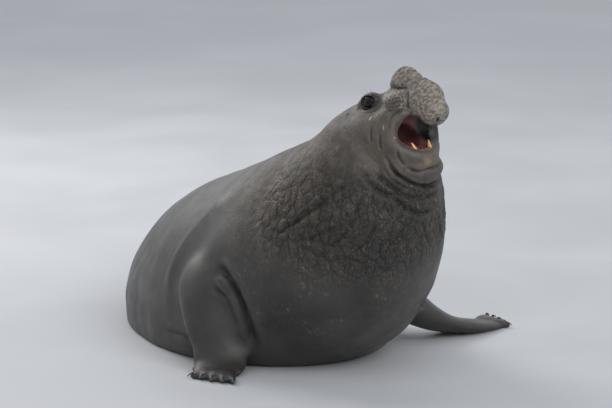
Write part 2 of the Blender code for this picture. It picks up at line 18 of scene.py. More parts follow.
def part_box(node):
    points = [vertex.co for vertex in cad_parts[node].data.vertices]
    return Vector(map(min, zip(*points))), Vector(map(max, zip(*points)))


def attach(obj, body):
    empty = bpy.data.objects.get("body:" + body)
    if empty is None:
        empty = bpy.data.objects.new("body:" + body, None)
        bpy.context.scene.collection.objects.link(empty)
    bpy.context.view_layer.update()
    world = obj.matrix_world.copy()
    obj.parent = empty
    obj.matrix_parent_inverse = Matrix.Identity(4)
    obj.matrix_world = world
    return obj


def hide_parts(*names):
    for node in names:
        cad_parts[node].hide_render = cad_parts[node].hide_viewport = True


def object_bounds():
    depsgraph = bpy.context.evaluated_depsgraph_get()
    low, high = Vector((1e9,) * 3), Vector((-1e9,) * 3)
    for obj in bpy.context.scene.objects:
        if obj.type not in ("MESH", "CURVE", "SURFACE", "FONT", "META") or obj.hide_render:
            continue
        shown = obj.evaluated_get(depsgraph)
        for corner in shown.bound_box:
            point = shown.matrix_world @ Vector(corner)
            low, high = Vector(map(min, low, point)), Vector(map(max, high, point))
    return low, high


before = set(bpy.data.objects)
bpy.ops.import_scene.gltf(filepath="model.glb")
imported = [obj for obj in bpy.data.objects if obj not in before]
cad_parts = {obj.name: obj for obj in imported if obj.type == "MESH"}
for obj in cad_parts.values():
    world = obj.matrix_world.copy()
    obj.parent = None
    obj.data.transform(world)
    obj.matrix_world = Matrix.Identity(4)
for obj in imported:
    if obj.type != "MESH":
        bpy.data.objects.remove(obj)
cad_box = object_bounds()

# The body's midline and sections, as in the solids
CHEST = (0.07, 0.10)
REST_BAND = 0.035
TURN_RUNS = (-3.6, -2.8, -2.0, -1.5, -1.0, -0.3, 0.3, 0.8, 1.6)
TURNS = (-24.0, -24.0, -18.0, -6.0, 14.0, 33.0, 38.0, 47.0, 47.0)
PROFILE = (
    (-3.30, 0.140, -3.30, 0.050, 0.050, 0.50, 2.0, 2.0),
    (-3.12, 0.250, -3.12, 0.000, 0.150, 0.45, 2.0, 2.2),
    (-2.70, 0.380, -2.70, -0.040, 0.300, 0.38, 1.9, 2.6),
    (-2.15, 0.530, -2.15, -0.100, 0.430, 0.36, 1.8, 3.0),
    (-1.60, 0.680, -1.60, -0.180, 0.550, 0.34, 1.75, 3.6),
    (-1.05, 0.835, -1.05, -0.220, 0.645, 0.34, 1.7, 4.2),
    (-0.55, 0.985, -0.55, -0.200, 0.665, 0.34, 1.7, 4.4),
    (-0.24, 1.105, -0.08, -0.120, 0.620, 0.36, 1.8, 3.0),
    (-0.02, 1.185, 0.22, 0.000, 0.560, 0.40, 1.95, 2.2),
    (0.12, 1.242, 0.50, 0.200, 0.515, 0.42, 2.05, 2.1),
    (0.22, 1.305, 0.68, 0.480, 0.460, 0.44, 2.05, 2.1),
    (0.30, 1.380, 0.76, 0.760, 0.385, 0.46, 2.05, 2.0),
    (0.38, 1.430, 0.79, 0.920, 0.315, 0.48, 2.0, 2.0),
    (0.45, 1.440, 0.76, 1.040, 0.250, 0.50, 2.0, 2.0),
    (0.53, 1.410, 0.72, 1.120, 0.150, 0.50, 2.0, 2.0),
)
HEAD_RUN = 0.55
HEAD_HEIGHT = 1.445
HEAD_TURN = 47.0
HEAD_PITCH = 20.0
EYE = (0.000, 0.102, 0.017)
EYE_RADIUS = 0.044

# Forms of the head: centre, radii, pitch and yaw. One off the middle has a mirrored twin.
HEAD_FORMS = (
    ((-0.070, 0.0, -0.085), (0.235, 0.160, 0.135), 4, 0),
    ((-0.010, 0.092, 0.018), (0.085, 0.052, 0.042), 0, -12),
    ((-0.002, 0.106, 0.016), (0.066, 0.051, 0.053), 0, 0),
    ((-0.030, 0.132, -0.175), (0.170, 0.106, 0.155), -35, -4),
    ((0.085, 0.0, -0.020), (0.170, 0.115, 0.078), -2, 0),
    ((0.100, 0.120, -0.100), (0.082, 0.068, 0.070), 0, 0),
    ((0.130, 0.080, -0.045), (0.110, 0.064, 0.070), 12, 8),
    ((0.172, 0.0, 0.053), (0.086, 0.086, 0.098), -10, 0),
    ((0.210, 0.0, 0.010), (0.076, 0.096, 0.090), -40, 0),
    ((0.260, 0.0, -0.052), (0.102, 0.112, 0.110), -20, 0),
    ((0.302, 0.0, -0.121), (0.074, 0.092, 0.074), -20, 0),
    ((0.020, 0.0, -0.300), (0.165, 0.195, 0.178), 0, 0),
    ((0.112, 0.0, -0.352), (0.066, 0.100, 0.060), -25, 0),
)
THROAT_ROLL = ((0.085, 0.055, -0.378), (0.085, 0.135, 0.074), 0, 0)
LIPS = (
    (0.205, 0.080, -0.072, 0.030),
    (0.168, 0.124, -0.100, 0.036),
    (0.128, 0.154, -0.145, 0.040),
    (0.108, 0.163, -0.200, 0.042),
    (0.114, 0.145, -0.252, 0.040),
    (0.142, 0.106, -0.294, 0.037),
    (0.164, 0.052, -0.322, 0.035),
    (0.170, 0.000, -0.329, 0.034),
)
GAPE_FORMS = (
    ((0.170, 0.0, -0.184), (0.125, 0.130, 0.100), -24, 0),
    ((0.040, 0.0, -0.190), (0.130, 0.096, 0.070), -24, 0),
)

# Fore flippers: centre of each section, half its width and thickness, and its width axis
RIGHT_ARM = (
    (-0.36, 0.14, 0.58, 0.17, 0.12, 0.92, -0.39),
    (-0.47, -0.02, 0.44, 0.215, 0.14, 0.95, -0.30),
    (-0.482, -0.13, 0.28, 0.178, 0.118, 0.98, -0.15),
    (-0.455, -0.21, 0.135, 0.150, 0.085, 1.0, 0.0),
    (-0.455, -0.29, 0.050, 0.150, 0.052, 1.0, 0.05),
    (-0.475, -0.37, 0.024, 0.140, 0.032, 1.0, 0.08),
    (-0.482, -0.42, 0.015, 0.115, 0.018, 1.0, 0.08),
)
LEFT_ARM = (
    (0.34, 0.32, 0.40, 0.18, 0.13, 0.40, -0.90),
    (0.50, 0.40, 0.26, 0.17, 0.115, 0.45, -0.87),
    (0.645, 0.47, 0.145, 0.145, 0.080, 0.60, -0.80),
    (0.765, 0.55, 0.075, 0.130, 0.054, 0.75, -0.65),
    (0.890, 0.635, 0.040, 0.135, 0.040, 0.77, -0.63),
    (0.990, 0.740, 0.024, 0.132, 0.026, 0.77, -0.63),
    (1.050, 0.805, 0.015, 0.110, 0.015, 0.77, -0.63),
)
DIGITS = (
    (0.80, 0.130, 0.030),
    (0.42, 0.115, 0.012),
    (0.02, 0.090, -0.004),
    (-0.38, 0.060, -0.018),
    (-0.76, 0.025, -0.035),
)
DIGIT_RADII = (0.034, 0.030, 0.018)
HIND_FOOT = (
    (-2.98, 0.075, 0.125, 0.085, 0.075, 0.85, -0.50),
    (-3.16, 0.130, 0.110, 0.085, 0.055, 0.85, -0.50),
    (-3.30, 0.185, 0.100, 0.110, 0.036, 0.86, -0.46),
    (-3.44, 0.245, 0.090, 0.135, 0.024, 0.88, -0.42),
    (-3.55, 0.290, 0.082, 0.150, 0.014, 0.90, -0.38),
)
HIND_DIGITS = (
    (0.86, 0.20, 0.050),
    (0.46, 0.10, 0.020),
    (0.03, 0.06, 0.002),
    (-0.42, 0.10, -0.018),
    (-0.84, 0.20, -0.050),
)
HIND_RADII = (0.024, 0.022, 0.013)
TAIL = (-3.36, 0.10, 0.16, 0.034, 0.020)
HIND_BASE = -3.1  # the run where the hind flippers and the tail are square to the midline

# Pits pressed into the skin: centre, radii, pitch, yaw and depth
PITS = (
    ((0.340, 0.032, -0.176), (0.030, 0.013, 0.024), -65, 12, 0.018),
    ((-0.130, 0.150, -0.010), (0.007, 0.030, 0.006), 0, -20, 0.008),
)

# The eyes: the way they look, and how far round the opening of the lids reaches, ahead
# and up, in degrees, with its tilt
GAZE = (0.50, 0.86, 0.08)
LID_REACH = (70.0, 50.0)
LID_TILT = 10.0
LID_SECTION = (0.0070, 0.0050)
LID_OPENING = ((0.002, 0.048, 0.001), (0.047, 0.040, 0.034), 12)  # from the eye's centre
SOCKET_GAP = 0.001

# Teeth: root, radius at the gum and length, then how far the tip leans back and aside
LOWER_CANINE = ((0.167, 0.055, -0.306), 0.016, 0.064)
LOWER_CANINE_LEAN = (-0.004, 0.012)
UPPER_CANINE = ((0.172, 0.056, -0.066), 0.014, 0.044)
UPPER_CANINE_LEAN = (-0.006, 0.0)
INCISOR_PLACES = ((0.178, 0.013), (0.175, 0.031))
INCISOR = (0.006, 0.022)
INCISOR_LEAN = (-0.002, 0.0)
GUM = ((0.134, 0.0, -0.301), (0.050, 0.074, 0.022), -20)
# Sections of the tongue: forward and up, half width and half thickness
TONGUE = (
    (-0.060, -0.212, 0.030, 0.016),
    (-0.020, -0.218, 0.052, 0.030),
    (0.040, -0.246, 0.060, 0.034),
    (0.095, -0.274, 0.056, 0.027),
    (0.135, -0.292, 0.040, 0.016),
    (0.152, -0.300, 0.018, 0.008),
)

# Rows of whisker roots on the pad, each from its rear to its front: forward, left, up
WHISKER_ROWS = (
    ((0.126, -0.118, 0.014), (0.183, -0.119, 0.010), (0.217, -0.104, 0.005), 5),
    ((0.128, -0.134, -0.004), (0.186, -0.130, -0.008), (0.224, -0.112, -0.012), 6),
    ((0.132, -0.140, -0.022), (0.188, -0.137, -0.027), (0.226, -0.120, -0.032), 7),
    ((0.135, -0.144, -0.041), (0.182, -0.141, -0.049), (0.222, -0.124, -0.053), 6),
    ((0.148, -0.148, -0.060), (0.184, -0.144, -0.068), (0.212, -0.126, -0.072), 5),
)
BROW_ROOTS = ((-0.035, -0.112, 0.078), (-0.010, -0.104, 0.084), (0.018, -0.102, 0.080))

# Pale and pink scars on the face and throat, and their sizes
SCARS = (
    ((0.117, -0.194, -0.140), (0.006, 0.010, 0.019)),
    ((0.040, -0.188, -0.068), (0.005, 0.010, 0.014)),
    ((0.066, -0.206, -0.176), (0.009, 0.010, 0.006)),
    ((0.084, -0.058, -0.455), (0.012, 0.014, 0.007)),
    ((0.161, -0.172, -0.169), (0.004, 0.006, 0.005)),
    ((0.153, -0.168, -0.204), (0.004, 0.006, 0.005)),
    ((-0.170, -0.420, -0.470), (0.012, 0.020, 0.016)),
    ((-0.640, -0.560, -0.420), (0.012, 0.020, 0.010)),
)

# The ellipsoids that the nose's colour and wrinkles fill: centre, radii and pitch
NOSE_REACH = (
    ((0.240, 0, -0.015), (0.150, 0.135, 0.165), -40),
    ((0.300, 0, -0.100), (0.115, 0.125, 0.105), -20),
)

# How fine the hide is meshed: distances from the face, and how much finer each is than
# the rump
FACE = (0.12, 0.0, -0.12)
FINE_AT = (0.0, 0.30, 0.55, 1.05, 1.50, 6.0)
FINENESS = (3.9, 3.9, 2.3, 2.0, 0.95, 0.85)
VOXEL = 0.0205
HIDE_TRIANGLES = 196000

# Creases of the head: a path forward, left and up, then how wide and how deep the crease
# is, and how far its edges swell. One that keeps to one side has a mirrored twin.
HEAD_CREASES = (
    # between the whisker pad and the nose, up to the brow
    (((0.110, -0.066, 0.058), (0.172, -0.086, 0.044), (0.201, -0.088, 0.039),
      (0.228, -0.090, 0.030), (0.250, -0.089, 0.016)), 0.009, 0.016, 0.004),
    (((0.250, -0.089, 0.016), (0.246, -0.105, -0.018), (0.237, -0.110, -0.057),
      (0.236, -0.101, -0.095)), 0.008, 0.010, 0.003),
    # the fronts of the nose's rear lobe and of its middle band
    (((0.180, -0.086, 0.047), (0.221, -0.082, 0.052), (0.249, -0.061, 0.066),
      (0.267, -0.031, 0.072), (0.274, 0.000, 0.072), (0.267, 0.031, 0.072),
      (0.249, 0.061, 0.066), (0.221, 0.082, 0.052)), 0.009, 0.015, 0.004),
    (((0.250, -0.086, 0.021), (0.268, -0.068, 0.038), (0.282, -0.049, 0.046),
      (0.294, -0.022, 0.051), (0.294, 0.022, 0.051), (0.282, 0.049, 0.046),
      (0.268, 0.068, 0.038), (0.250, 0.086, 0.021)), 0.007, 0.009, 0.003),
    # wrinkles that ring the rear lobe
    (((0.190, -0.080, 0.075), (0.215, -0.066, 0.095), (0.232, -0.035, 0.108),
      (0.238, 0.000, 0.112), (0.232, 0.035, 0.108), (0.215, 0.066, 0.095)), 0.006, 0.005, 0.002),
    (((0.150, -0.078, 0.080), (0.175, -0.070, 0.112), (0.195, -0.036, 0.135),
      (0.200, 0.000, 0.140), (0.195, 0.036, 0.135), (0.175, 0.070, 0.112)), 0.006, 0.004, 0.002),
    # behind the nose's root and over the snout
    (((0.096, -0.090, 0.034), (0.108, -0.066, 0.054), (0.104, -0.035, 0.062),
      (0.102, 0.035, 0.062), (0.108, 0.066, 0.054)), 0.008, 0.007, 0.003),
    # under the whisker pad and down the lip's outer side
    (((0.222, -0.112, -0.083), (0.206, -0.132, -0.079), (0.182, -0.153, -0.081),
      (0.159, -0.174, -0.099), (0.148, -0.190, -0.132), (0.138, -0.199, -0.165)),
     0.007, 0.008, 0.002),
    (((0.144, -0.171, -0.254), (0.134, -0.154, -0.301), (0.133, -0.140, -0.329),
      (0.134, -0.128, -0.352)), 0.007, 0.009, 0.003),
    # behind the corner of the mouth
    (((0.095, -0.205, -0.165), (0.078, -0.208, -0.205), (0.074, -0.203, -0.245)),
     0.007, 0.008, 0.003),
    (((0.052, -0.206, -0.110), (0.040, -0.215, -0.150), (0.036, -0.214, -0.195)),
     0.008, 0.006, 0.003),
    # under the chin and across the throat
    (((0.136, -0.128, -0.347), (0.141, -0.104, -0.373), (0.147, -0.077, -0.388),
      (0.153, -0.041, -0.397), (0.160, 0.000, -0.396), (0.157, 0.045, -0.390),
      (0.142, 0.099, -0.377), (0.135, 0.128, -0.347)), 0.008, 0.013, 0.004),
    (((0.077, -0.194, -0.261), (0.078, -0.180, -0.322), (0.088, -0.152, -0.383),
      (0.094, -0.122, -0.412), (0.094, -0.085, -0.438), (0.091, -0.034, -0.457),
      (0.083, 0.019, -0.465), (0.064, 0.085, -0.470), (0.050, 0.151, -0.465),
      (0.022, 0.241, -0.438), (-0.020, 0.270, -0.360)), 0.010, 0.030, 0.008),
    (((0.011, -0.218, -0.306), (0.022, -0.207, -0.368), (0.033, -0.178, -0.423),
      (0.045, -0.130, -0.469), (0.054, -0.061, -0.507), (0.057, 0.039, -0.526),
      (0.036, 0.180, -0.514), (0.000, 0.250, -0.480)), 0.011, 0.016, 0.006),
    (((-0.026, -0.282, -0.305), (-0.013, -0.271, -0.352), (-0.004, -0.261, -0.392),
      (0.015, -0.220, -0.455), (0.033, -0.165, -0.490), (0.039, -0.089, -0.563),
      (0.035, 0.003, -0.602), (0.023, 0.111, -0.604), (0.000, 0.220, -0.570)),
     0.013, 0.018, 0.007),
    # round the eye
    (((-0.060, -0.128, 0.058), (-0.020, -0.118, 0.076), (0.030, -0.106, 0.066),
      (0.066, -0.108, 0.034)), 0.007, 0.005, 0.003),
    (((-0.058, -0.158, -0.006), (-0.020, -0.163, -0.040), (0.030, -0.150, -0.042),
      (0.066, -0.134, -0.016)), 0.007, 0.005, 0.003),
)
# Creases of the neck and chest, on both sides: a path of stations and of angles from the
# top of the back in degrees to the left, then the width, depth and swelling. One with a
# depth under nought is a ridge.
BODY_CREASES = (
    (((8.69, -76), (9.28, -78), (9.80, -82), (10.30, -86), (10.78, -92), (11.18, -97),
      (11.57, -104)), 0.013, 0.013, 0.006),
    (((9.50, -86), (9.73, -92), (9.88, -96), (10.17, -101), (10.39, -106), (10.61, -112),
      (10.83, -116)), 0.011, 0.011, 0.005),
    (((10.09, -114), (10.27, -115), (10.48, -119), (10.72, -121), (10.95, -123),
      (11.13, -126), (11.34, -130)), 0.010, 0.010, 0.005),
    (((10.32, -130), (10.57, -136), (10.81, -140), (11.12, -143), (11.44, -148)),
     0.010, 0.009, 0.004),
    (((11.51, -114), (11.28, -121), (10.94, -121)), 0.010, 0.009, 0.004),
    (((11.32, -168), (10.93, -163), (10.62, -156)), 0.010, 0.009, 0.004),
    (((7.34, -78), (7.60, -86), (7.78, -95), (7.80, -104)), 0.020, 0.009, 0.004),
    (((6.16, -92), (6.48, -96), (6.67, -101)), 0.016, 0.010, 0.004),
    (((7.62, -121), (8.52, -133), (9.15, -142), (9.39, -164), (9.45, -180)),
     0.050, 0.010, 0.006),
    (((6.70, -36), (6.47, -44), (6.25, -56), (6.15, -70), (6.30, -84)), 0.060, -0.011, -0.007),
)
# The front edges of the two upper arms, standing clear of the chest, and the crescents in
# the right armpit, as places on the body, with width, depth and swelling
ARM_CREASES = (
    (((-0.489, -0.145, 0.534), (-0.441, -0.201, 0.512), (-0.387, -0.261, 0.462),
      (-0.342, -0.304, 0.382), (-0.316, -0.314, 0.304), (-0.296, -0.302, 0.206),
      (-0.302, -0.280, 0.119)), 0.022, 0.040, 0.014),
    (((-0.478, -0.185, 0.484), (-0.430, -0.236, 0.440), (-0.392, -0.268, 0.400)),
     0.011, 0.010, 0.005),
    (((-0.500, -0.180, 0.440), (-0.460, -0.222, 0.416), (-0.423, -0.246, 0.384)),
     0.011, 0.009, 0.004),
    (((0.52, 0.12, 0.46), (0.60, 0.20, 0.33), (0.66, 0.30, 0.20)), 0.022, 0.030, 0.010),
)
# The roughest skin: middle and radii of the part of the neck and chest that it covers
ROUGH_PLACE = (0.26, -0.36, 0.84)
ROUGH_REACH = (0.56, 0.56, 0.36)


# Colours of the hide, linear
HIDE_DARK = (0.024, 0.022, 0.020)
HIDE_GREY = (0.044, 0.041, 0.037)
NECK_DARK = (0.034, 0.027, 0.021)
NECK_BROWN = (0.092, 0.070, 0.048)
FACE_DARK = (0.052, 0.044, 0.036)
FACE_BROWN = (0.125, 0.103, 0.080)
FLECK_TAN = (0.250, 0.185, 0.120)
NOSE_DARK = (0.105, 0.088, 0.070)
NOSE_GREY = (0.270, 0.232, 0.195)
NOSE_BLUE = (0.150, 0.148, 0.146)
CHIN_TAN = (0.230, 0.165, 0.095)
SCAR_PINK = (0.560, 0.320, 0.250)
# painted shade: near black for the creases, cracks, wrinkles and pits
CREASE_SHADE = (0.008, 0.008, 0.007)
LIP_DARK = (0.022, 0.020, 0.018)
LIP_OLIVE = (0.062, 0.056, 0.042)
MOUTH_DEEP = (0.140, 0.058, 0.060)
MOUTH_RED = (0.230, 0.098, 0.098)
# painted shade over dark pigment, inside the far cheek
CHEEK_SHADE = (0.006, 0.008, 0.007)
LID_BLACK = (0.010, 0.010, 0.011)

# Finishes that go from one colour to another: the mark that each follows, if any, and from
# where to where, both colours, then the noise's scale, the roughness and the noise's depth
FINISHES = {
    "lid_skin": ("outer", 0.3, 1.0, LID_BLACK, (0.030, 0.029, 0.030), 90.0, 0.25, 0.0006),
    "tongue_flesh": (None, 0, 1, (0.150, 0.060, 0.060), (0.230, 0.098, 0.096), 60.0, 0.28, 0.0012),
    "gum_flesh": (None, 0, 1, (0.18, 0.055, 0.045), (0.40, 0.17, 0.13), 80.0, 0.25, 0.0008),
    "ivory": ("share", 0.0, 0.9, (0.62, 0.26, 0.06), (0.86, 0.56, 0.22), 120.0, 0.28, 0.0004),
    "horn": ("share", 0.0, 1.0, (0.020, 0.017, 0.014), (0.085, 0.070, 0.055), 150.0, 0.35, 0.0005),
    "whisker_hair": (None, 0, 1, (0.05, 0.04, 0.03), (0.11, 0.09, 0.07), 90.0, 0.40, 0.0001),
    "whisker_bed": (None, 0, 1, (0.016, 0.014, 0.013), (0.035, 0.031, 0.028), 200.0, 0.45, 0.0004),
    "floor_paint": (None, 0, 1, (0.47, 0.48, 0.50), (0.53, 0.54, 0.56), 0.6, 0.7, 0.0005),
}

CLAW = (0.036, 0.0085)  # length and half width at the root

# The studio: each light's name, place, width, power and colour, then the sky and the floor
LIGHTS = (
    ("key", (-5.0, 4.5, 6.5), 4.0, 400, (1.0, 0.98, 0.95)),
    ("fill", (6.0, -8.0, 6.5), 6.0, 420, (1.0, 0.99, 0.97)),
)
SKY = (0.92, 0.95, 1.0, 1)
SKY_STRENGTH = 0.75
FLOOR = ((-40.0, -30.0, 0.0), (40.0, -30.0, 0.0), (40.0, 60.0, 0.0), (-40.0, 60.0, 0.0))

# The camera of the photograph, and what the hide stands in for
VIEW_DISTANCE = 14.0
VIEW_RISE = math.radians(10.5)
VIEW_HEIGHT = 0.853
PIXELS_PER_METRE = 187.0
FLESH = ("head", "proboscis", "lower_jaw", "neck", "chest", "torso", "hindquarters", "tail",
         "foreflipper_left", "foreflipper_right", "hindflipper_left", "hindflipper_right")


def spline(rows, at):
    """Rows of values read at fractional places along a smooth curve through them all: on
    each stretch a cubic that leaves every row in the direction of its two neighbours."""
    rows = np.asarray(rows, float)
    at = np.atleast_1d(np.asarray(at, float))
    ends = np.concatenate([2 * rows[:1] - rows[1:2], rows, 2 * rows[-1:] - rows[-2:-1]])
    index = np.clip(np.floor(at).astype(int), 0, len(rows) - 2)
    t = (at - index)[..., None]
    a, b, c, d = (ends[index + k] for k in range(4))
    return 0.5 * (2 * b + (c - a) * t + (2 * a - 5 * b + 4 * c - d) * t**2
                  + (3 * b - a - 3 * c + d) * t**3)


def smooth(path, count):
    """That many places along the smooth curve through every row of a path."""
    return spline(path, np.linspace(0, len(path) - 1, count))


def midline():
    """Runs, and the midline's place on the floor and heading at each."""
    runs = np.linspace(-4.2, 1.6, 581)
    places = np.interp(runs, TURN_RUNS, range(len(TURN_RUNS)))
    turn = np.radians(spline(np.array(TURNS)[:, None], places)[:, 0])
    step = runs[1] - runs[0]
    x = np.cumsum(np.sin(turn)) * step
    y = -np.cumsum(np.cos(turn)) * step
    x += CHEST[0] - np.interp(0.0, runs, x)
    y += CHEST[1] - np.interp(0.0, runs, y)
    return runs, x, y, turn


MIDLINE = midline()


def place(base, run, across, z):
    """Points at a run, a distance across and a height, set square to the midline at base."""
    runs, x, y, turns = MIDLINE
    turn = np.interp(base, runs, turns)
    ahead = run - base
    return np.stack([
        np.interp(base, runs, x) + ahead * np.sin(turn) + across * np.cos(turn),
        np.interp(base, runs, y) - ahead * np.cos(turn) + across * np.sin(turn),
        z + 0 * across,
    ], axis=-1)


def settled(z):
    """Heights pressed flat on the floor, rounding off over the rest band: above it they
    stay, below it they are nought, and between the two they follow a parabola."""
    band = REST_BAND
    return np.where(z > band, z, np.where(z < -band, 0.0, (z + band) ** 2 / (4 * band)))


def trunk(stations, angles):
    """Points of the trunk at fractional stations of the profile and at angles from the
    top of the back round by the left. Each section is a superellipse: the cosine and the
    sine of the angle, each to the power of two over its squareness."""
    columns = np.moveaxis(spline(PROFILE, stations), -1, 0)
    back_run, back_z, belly_run, belly_z, wide, widest, above, below = columns
    square = np.where(np.cos(angles) > 0, above, below)
    up = np.sign(np.cos(angles)) * np.abs(np.cos(angles)) ** (2 / square)
    side = np.sign(np.sin(angles)) * np.abs(np.sin(angles)) ** (2 / square)
    level = widest + np.where(up > 0, 1 - widest, widest) * up
    run = belly_run + level * (back_run - belly_run)
    z = settled(belly_z + level * (back_z - belly_z))
    base = (back_run + belly_run) / 2 + 0 * run
    return place(base, run, wide * side, z)


def head_frame():
    """The head's own axes, forward, left and up, at the middle between the eyes."""
    turn, pitch = math.radians(HEAD_TURN), math.radians(HEAD_PITCH)
    ahead = Vector((math.sin(turn), -math.cos(turn), 0))
    left = Vector((math.cos(turn), math.sin(turn), 0))
    forward = ahead * math.cos(pitch) + Vector((0, 0, math.sin(pitch)))
    up = forward.cross(left)
    origin = place(np.array(HEAD_RUN), np.array(HEAD_RUN), np.array(0.0), np.array(HEAD_HEIGHT))
    axes = Matrix((forward, left, up)).transposed().to_4x4()
    return Matrix.Translation(Vector(origin.tolist())) @ axes


HEAD = np.array(head_frame())


def from_head(points):
    """Points given forward, left and up of the middle between the eyes, set in the world."""
    return np.asarray(points, float) @ HEAD[:3, :3].T + HEAD[:3, 3]


def to_head(points):
    """The forward, left and up of points in the world."""
    return (points - HEAD[:3, 3]) @ HEAD[:3, :3]


def part_offset():
    """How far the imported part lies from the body's own midline, read off its left eye."""
    low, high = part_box("eye_left")
    return (np.array(low) + np.array(high)) / 2 - from_head(EYE)


OFFSET = part_offset()


def mesh_object(name, points, faces):
    """An object from arrays of points and faces, turned so that its faces point out."""
    mesh = bpy.data.meshes.new(name)
    mesh.from_pydata(np.asarray(points).tolist(), [], faces)
    shell = bmesh.new()
    shell.from_mesh(mesh)
    if shell.calc_volume(signed=True) < 0:
        bmesh.ops.reverse_faces(shell, faces=shell.faces)
        shell.to_mesh(mesh)
    shell.free()
    return bpy.data.objects.new(name, mesh)


def sleeve(name, rings, poles=None):
    """A closed surface from rings of points: four-sided faces join each ring to the next,
    and a fan of triangles closes each end on its pole, or on the ring's own middle."""
    count, sides = rings.shape[:2]
    poles = (rings[0].mean(axis=0), rings[-1].mean(axis=0)) if poles is None else poles
    at = np.arange(count * sides).reshape(count, sides)
    nxt = np.roll(at, -1, axis=1)
    walls = np.stack([at[:-1], nxt[:-1], nxt[1:], at[1:]], axis=-1).reshape(-1, 4)
    first = np.stack([nxt[0], at[0], np.full(sides, count * sides)], axis=-1)
    last = np.stack([at[-1], nxt[-1], np.full(sides, count * sides + 1)], axis=-1)
    points = np.concatenate([rings.reshape(-1, 3), np.stack(poles)])
    return mesh_object(name, points, walls.tolist() + first.tolist() + last.tolist())


def turned(pitch, yaw):
    """The matrix that raises a form's nose by pitch and then turns it left by yaw."""
    p, w = math.radians(pitch), math.radians(yaw)
    raised = np.array([[math.cos(p), 0, -math.sin(p)], [0, 1, 0], [math.sin(p), 0, math.cos(p)]])
    swung = np.array([[math.cos(w), -math.sin(w), 0], [math.sin(w), math.cos(w), 0], [0, 0, 1]])
    return swung @ raised


def ball_grid(rows, sides):
    """Unit directions in rings from one pole to the other, and the two poles."""
    tilt = np.linspace(0, math.pi, rows + 2)[1:-1, None]
    round_by = np.linspace(0, 2 * math.pi, sides, endpoint=False)[None, :]
    rings = np.stack([np.sin(tilt) * np.cos(round_by), np.sin(tilt) * np.sin(round_by),
                      np.cos(tilt) + 0 * round_by], axis=-1)
    return rings, np.array([[0, 0, 1.0], [0, 0, -1.0]])


def egg(name, centre, radii, pitch=0.0, yaw=0.0, sides=48):
    """An ellipsoid in the head's frame: the unit sphere times its radii, turned."""
    rings, poles = ball_grid(sides * 2 // 3, sides)
    shape = turned(pitch, yaw).T
    return sleeve(name, from_head(rings * radii @ shape + centre),
                  from_head(poles * radii @ shape + centre))


def eggs(forms):
    """Every form of a list, with a mirrored twin for each one off the middle."""
    made = []
    for (x, y, z), radii, pitch, yaw in forms:
        made.append(egg("form", (x, y, z), radii, pitch, yaw))
        if y:
            made.append(egg("form", (x, -y, z), radii, pitch, -yaw))
    return made


def unit(rows):
    """Each row of vectors at length one."""
    return rows / np.linalg.norm(rows, axis=-1, keepdims=True)


def tube(name, rows, wide, sides):
    """A flattened tube. Round each section's centre goes half its width times the cosine
    along the width axis and half its thickness times the sine along the axis square to it."""
    along = unit(np.gradient(rows[:, :3], axis=0))
    wide = unit(wide - (wide * along).sum(axis=1, keepdims=True) * along)
    thick = np.cross(along, wide)
    angle = np.linspace(0, 2 * math.pi, sides, endpoint=False)[None, :, None]
    rings = (rows[:, None, :3] + rows[:, None, 3:4] * np.cos(angle) * wide[:, None, :]
             + rows[:, None, 4:5] * np.sin(angle) * thick[:, None, :])
    return sleeve(name, rings)


def rod(name, path, radii, sides=20, count=22):
    """A round rod along a smooth path, its far end a dome."""
    rows = np.concatenate([smooth(path, count), smooth(np.array(radii)[:, None], count)], axis=1)
    end, ahead = rows[-1], unit(rows[-1, :3] - rows[-2, :3])
    bend = np.radians([30, 55, 75])[:, None]
    dome = np.concatenate([end[:3] + ahead * end[3] * np.sin(bend), end[3] * np.cos(bend)], axis=1)
    rows = np.concatenate([rows, dome])
    rows = np.concatenate([rows, rows[:, 3:4]], axis=1)
    return tube(name, rows, np.tile([0.31, -0.95, 0.02], (len(rows), 1)), sides)


def lips():
    """The rim of the mouth as a bent rod on each side, meeting at the lower lip."""
    rows = np.array(LIPS)
    paths = [from_head(rows[:, :3] * (1, side, 1)) for side in (1, -1)]
    return [rod("lip", path, rows[:, 3], 28, 48) for path in paths]


def hand_frame(rows, wide):
    """The directions along and across the end of a limb."""
    along = unit(rows[-1, :3] - rows[-2, :3])
    return along, unit(wide[-1] - (wide[-1] @ along) * along)


def digit_paths(rows, wide, digits, radii, sole):
    """Root, middle and tip of each digit, fanned out across the end of a limb."""
    along, across = hand_frame(rows, wide)
    paths = []
    for share, reach, spread in digits:
        tip = rows[-1, :3] + across * (share * rows[-1, 3] + spread) + along * reach
        middle = rows[-1, :3] + across * share * rows[-1, 3] * 1.02 + along * reach * 0.25
        root = rows[-3, :3] + across * share * rows[-3, 3] * 0.72
        path = np.array([root, middle, tip])
        path[1:, 2] = np.maximum(path[1:, 2], radii[2] * sole)
        paths.append(path)
    return paths


def paddle(rows, wide, digits, radii, sole):
    """The forms of a flipper: its flattened limb, five digits and the webs between them."""
    across = hand_frame(rows, wide)[1]
    forms = [tube("limb", rows, wide, 40)]
    paths = digit_paths(rows, wide, digits, radii, sole)
    forms += [rod("digit", path, radii) for path in paths]
    for one, two in zip(paths, paths[1:]):
        outer = (one[2] + two[2]) * 0.225 + (one[1] + two[1]) * 0.275
        web = np.array([[*(one[0] + two[0]) / 2, 0.045, 0.014],
                        [*(one[1] + two[1]) / 2, 0.045, 0.011],
                        [*outer, 0.030, 0.008]])
        forms.append(tube("web", smooth(web, 9), np.tile(across, (9, 1)), 16))
    return forms


def arm_rows(sections, leading):
    """The sections of a fore flipper, and the direction of its leading edge at each."""
    rows = smooth(sections, 48)
    return rows[:, :5], np.concatenate([rows[:, 5:7], 0 * rows[:, :1]], axis=1) * leading


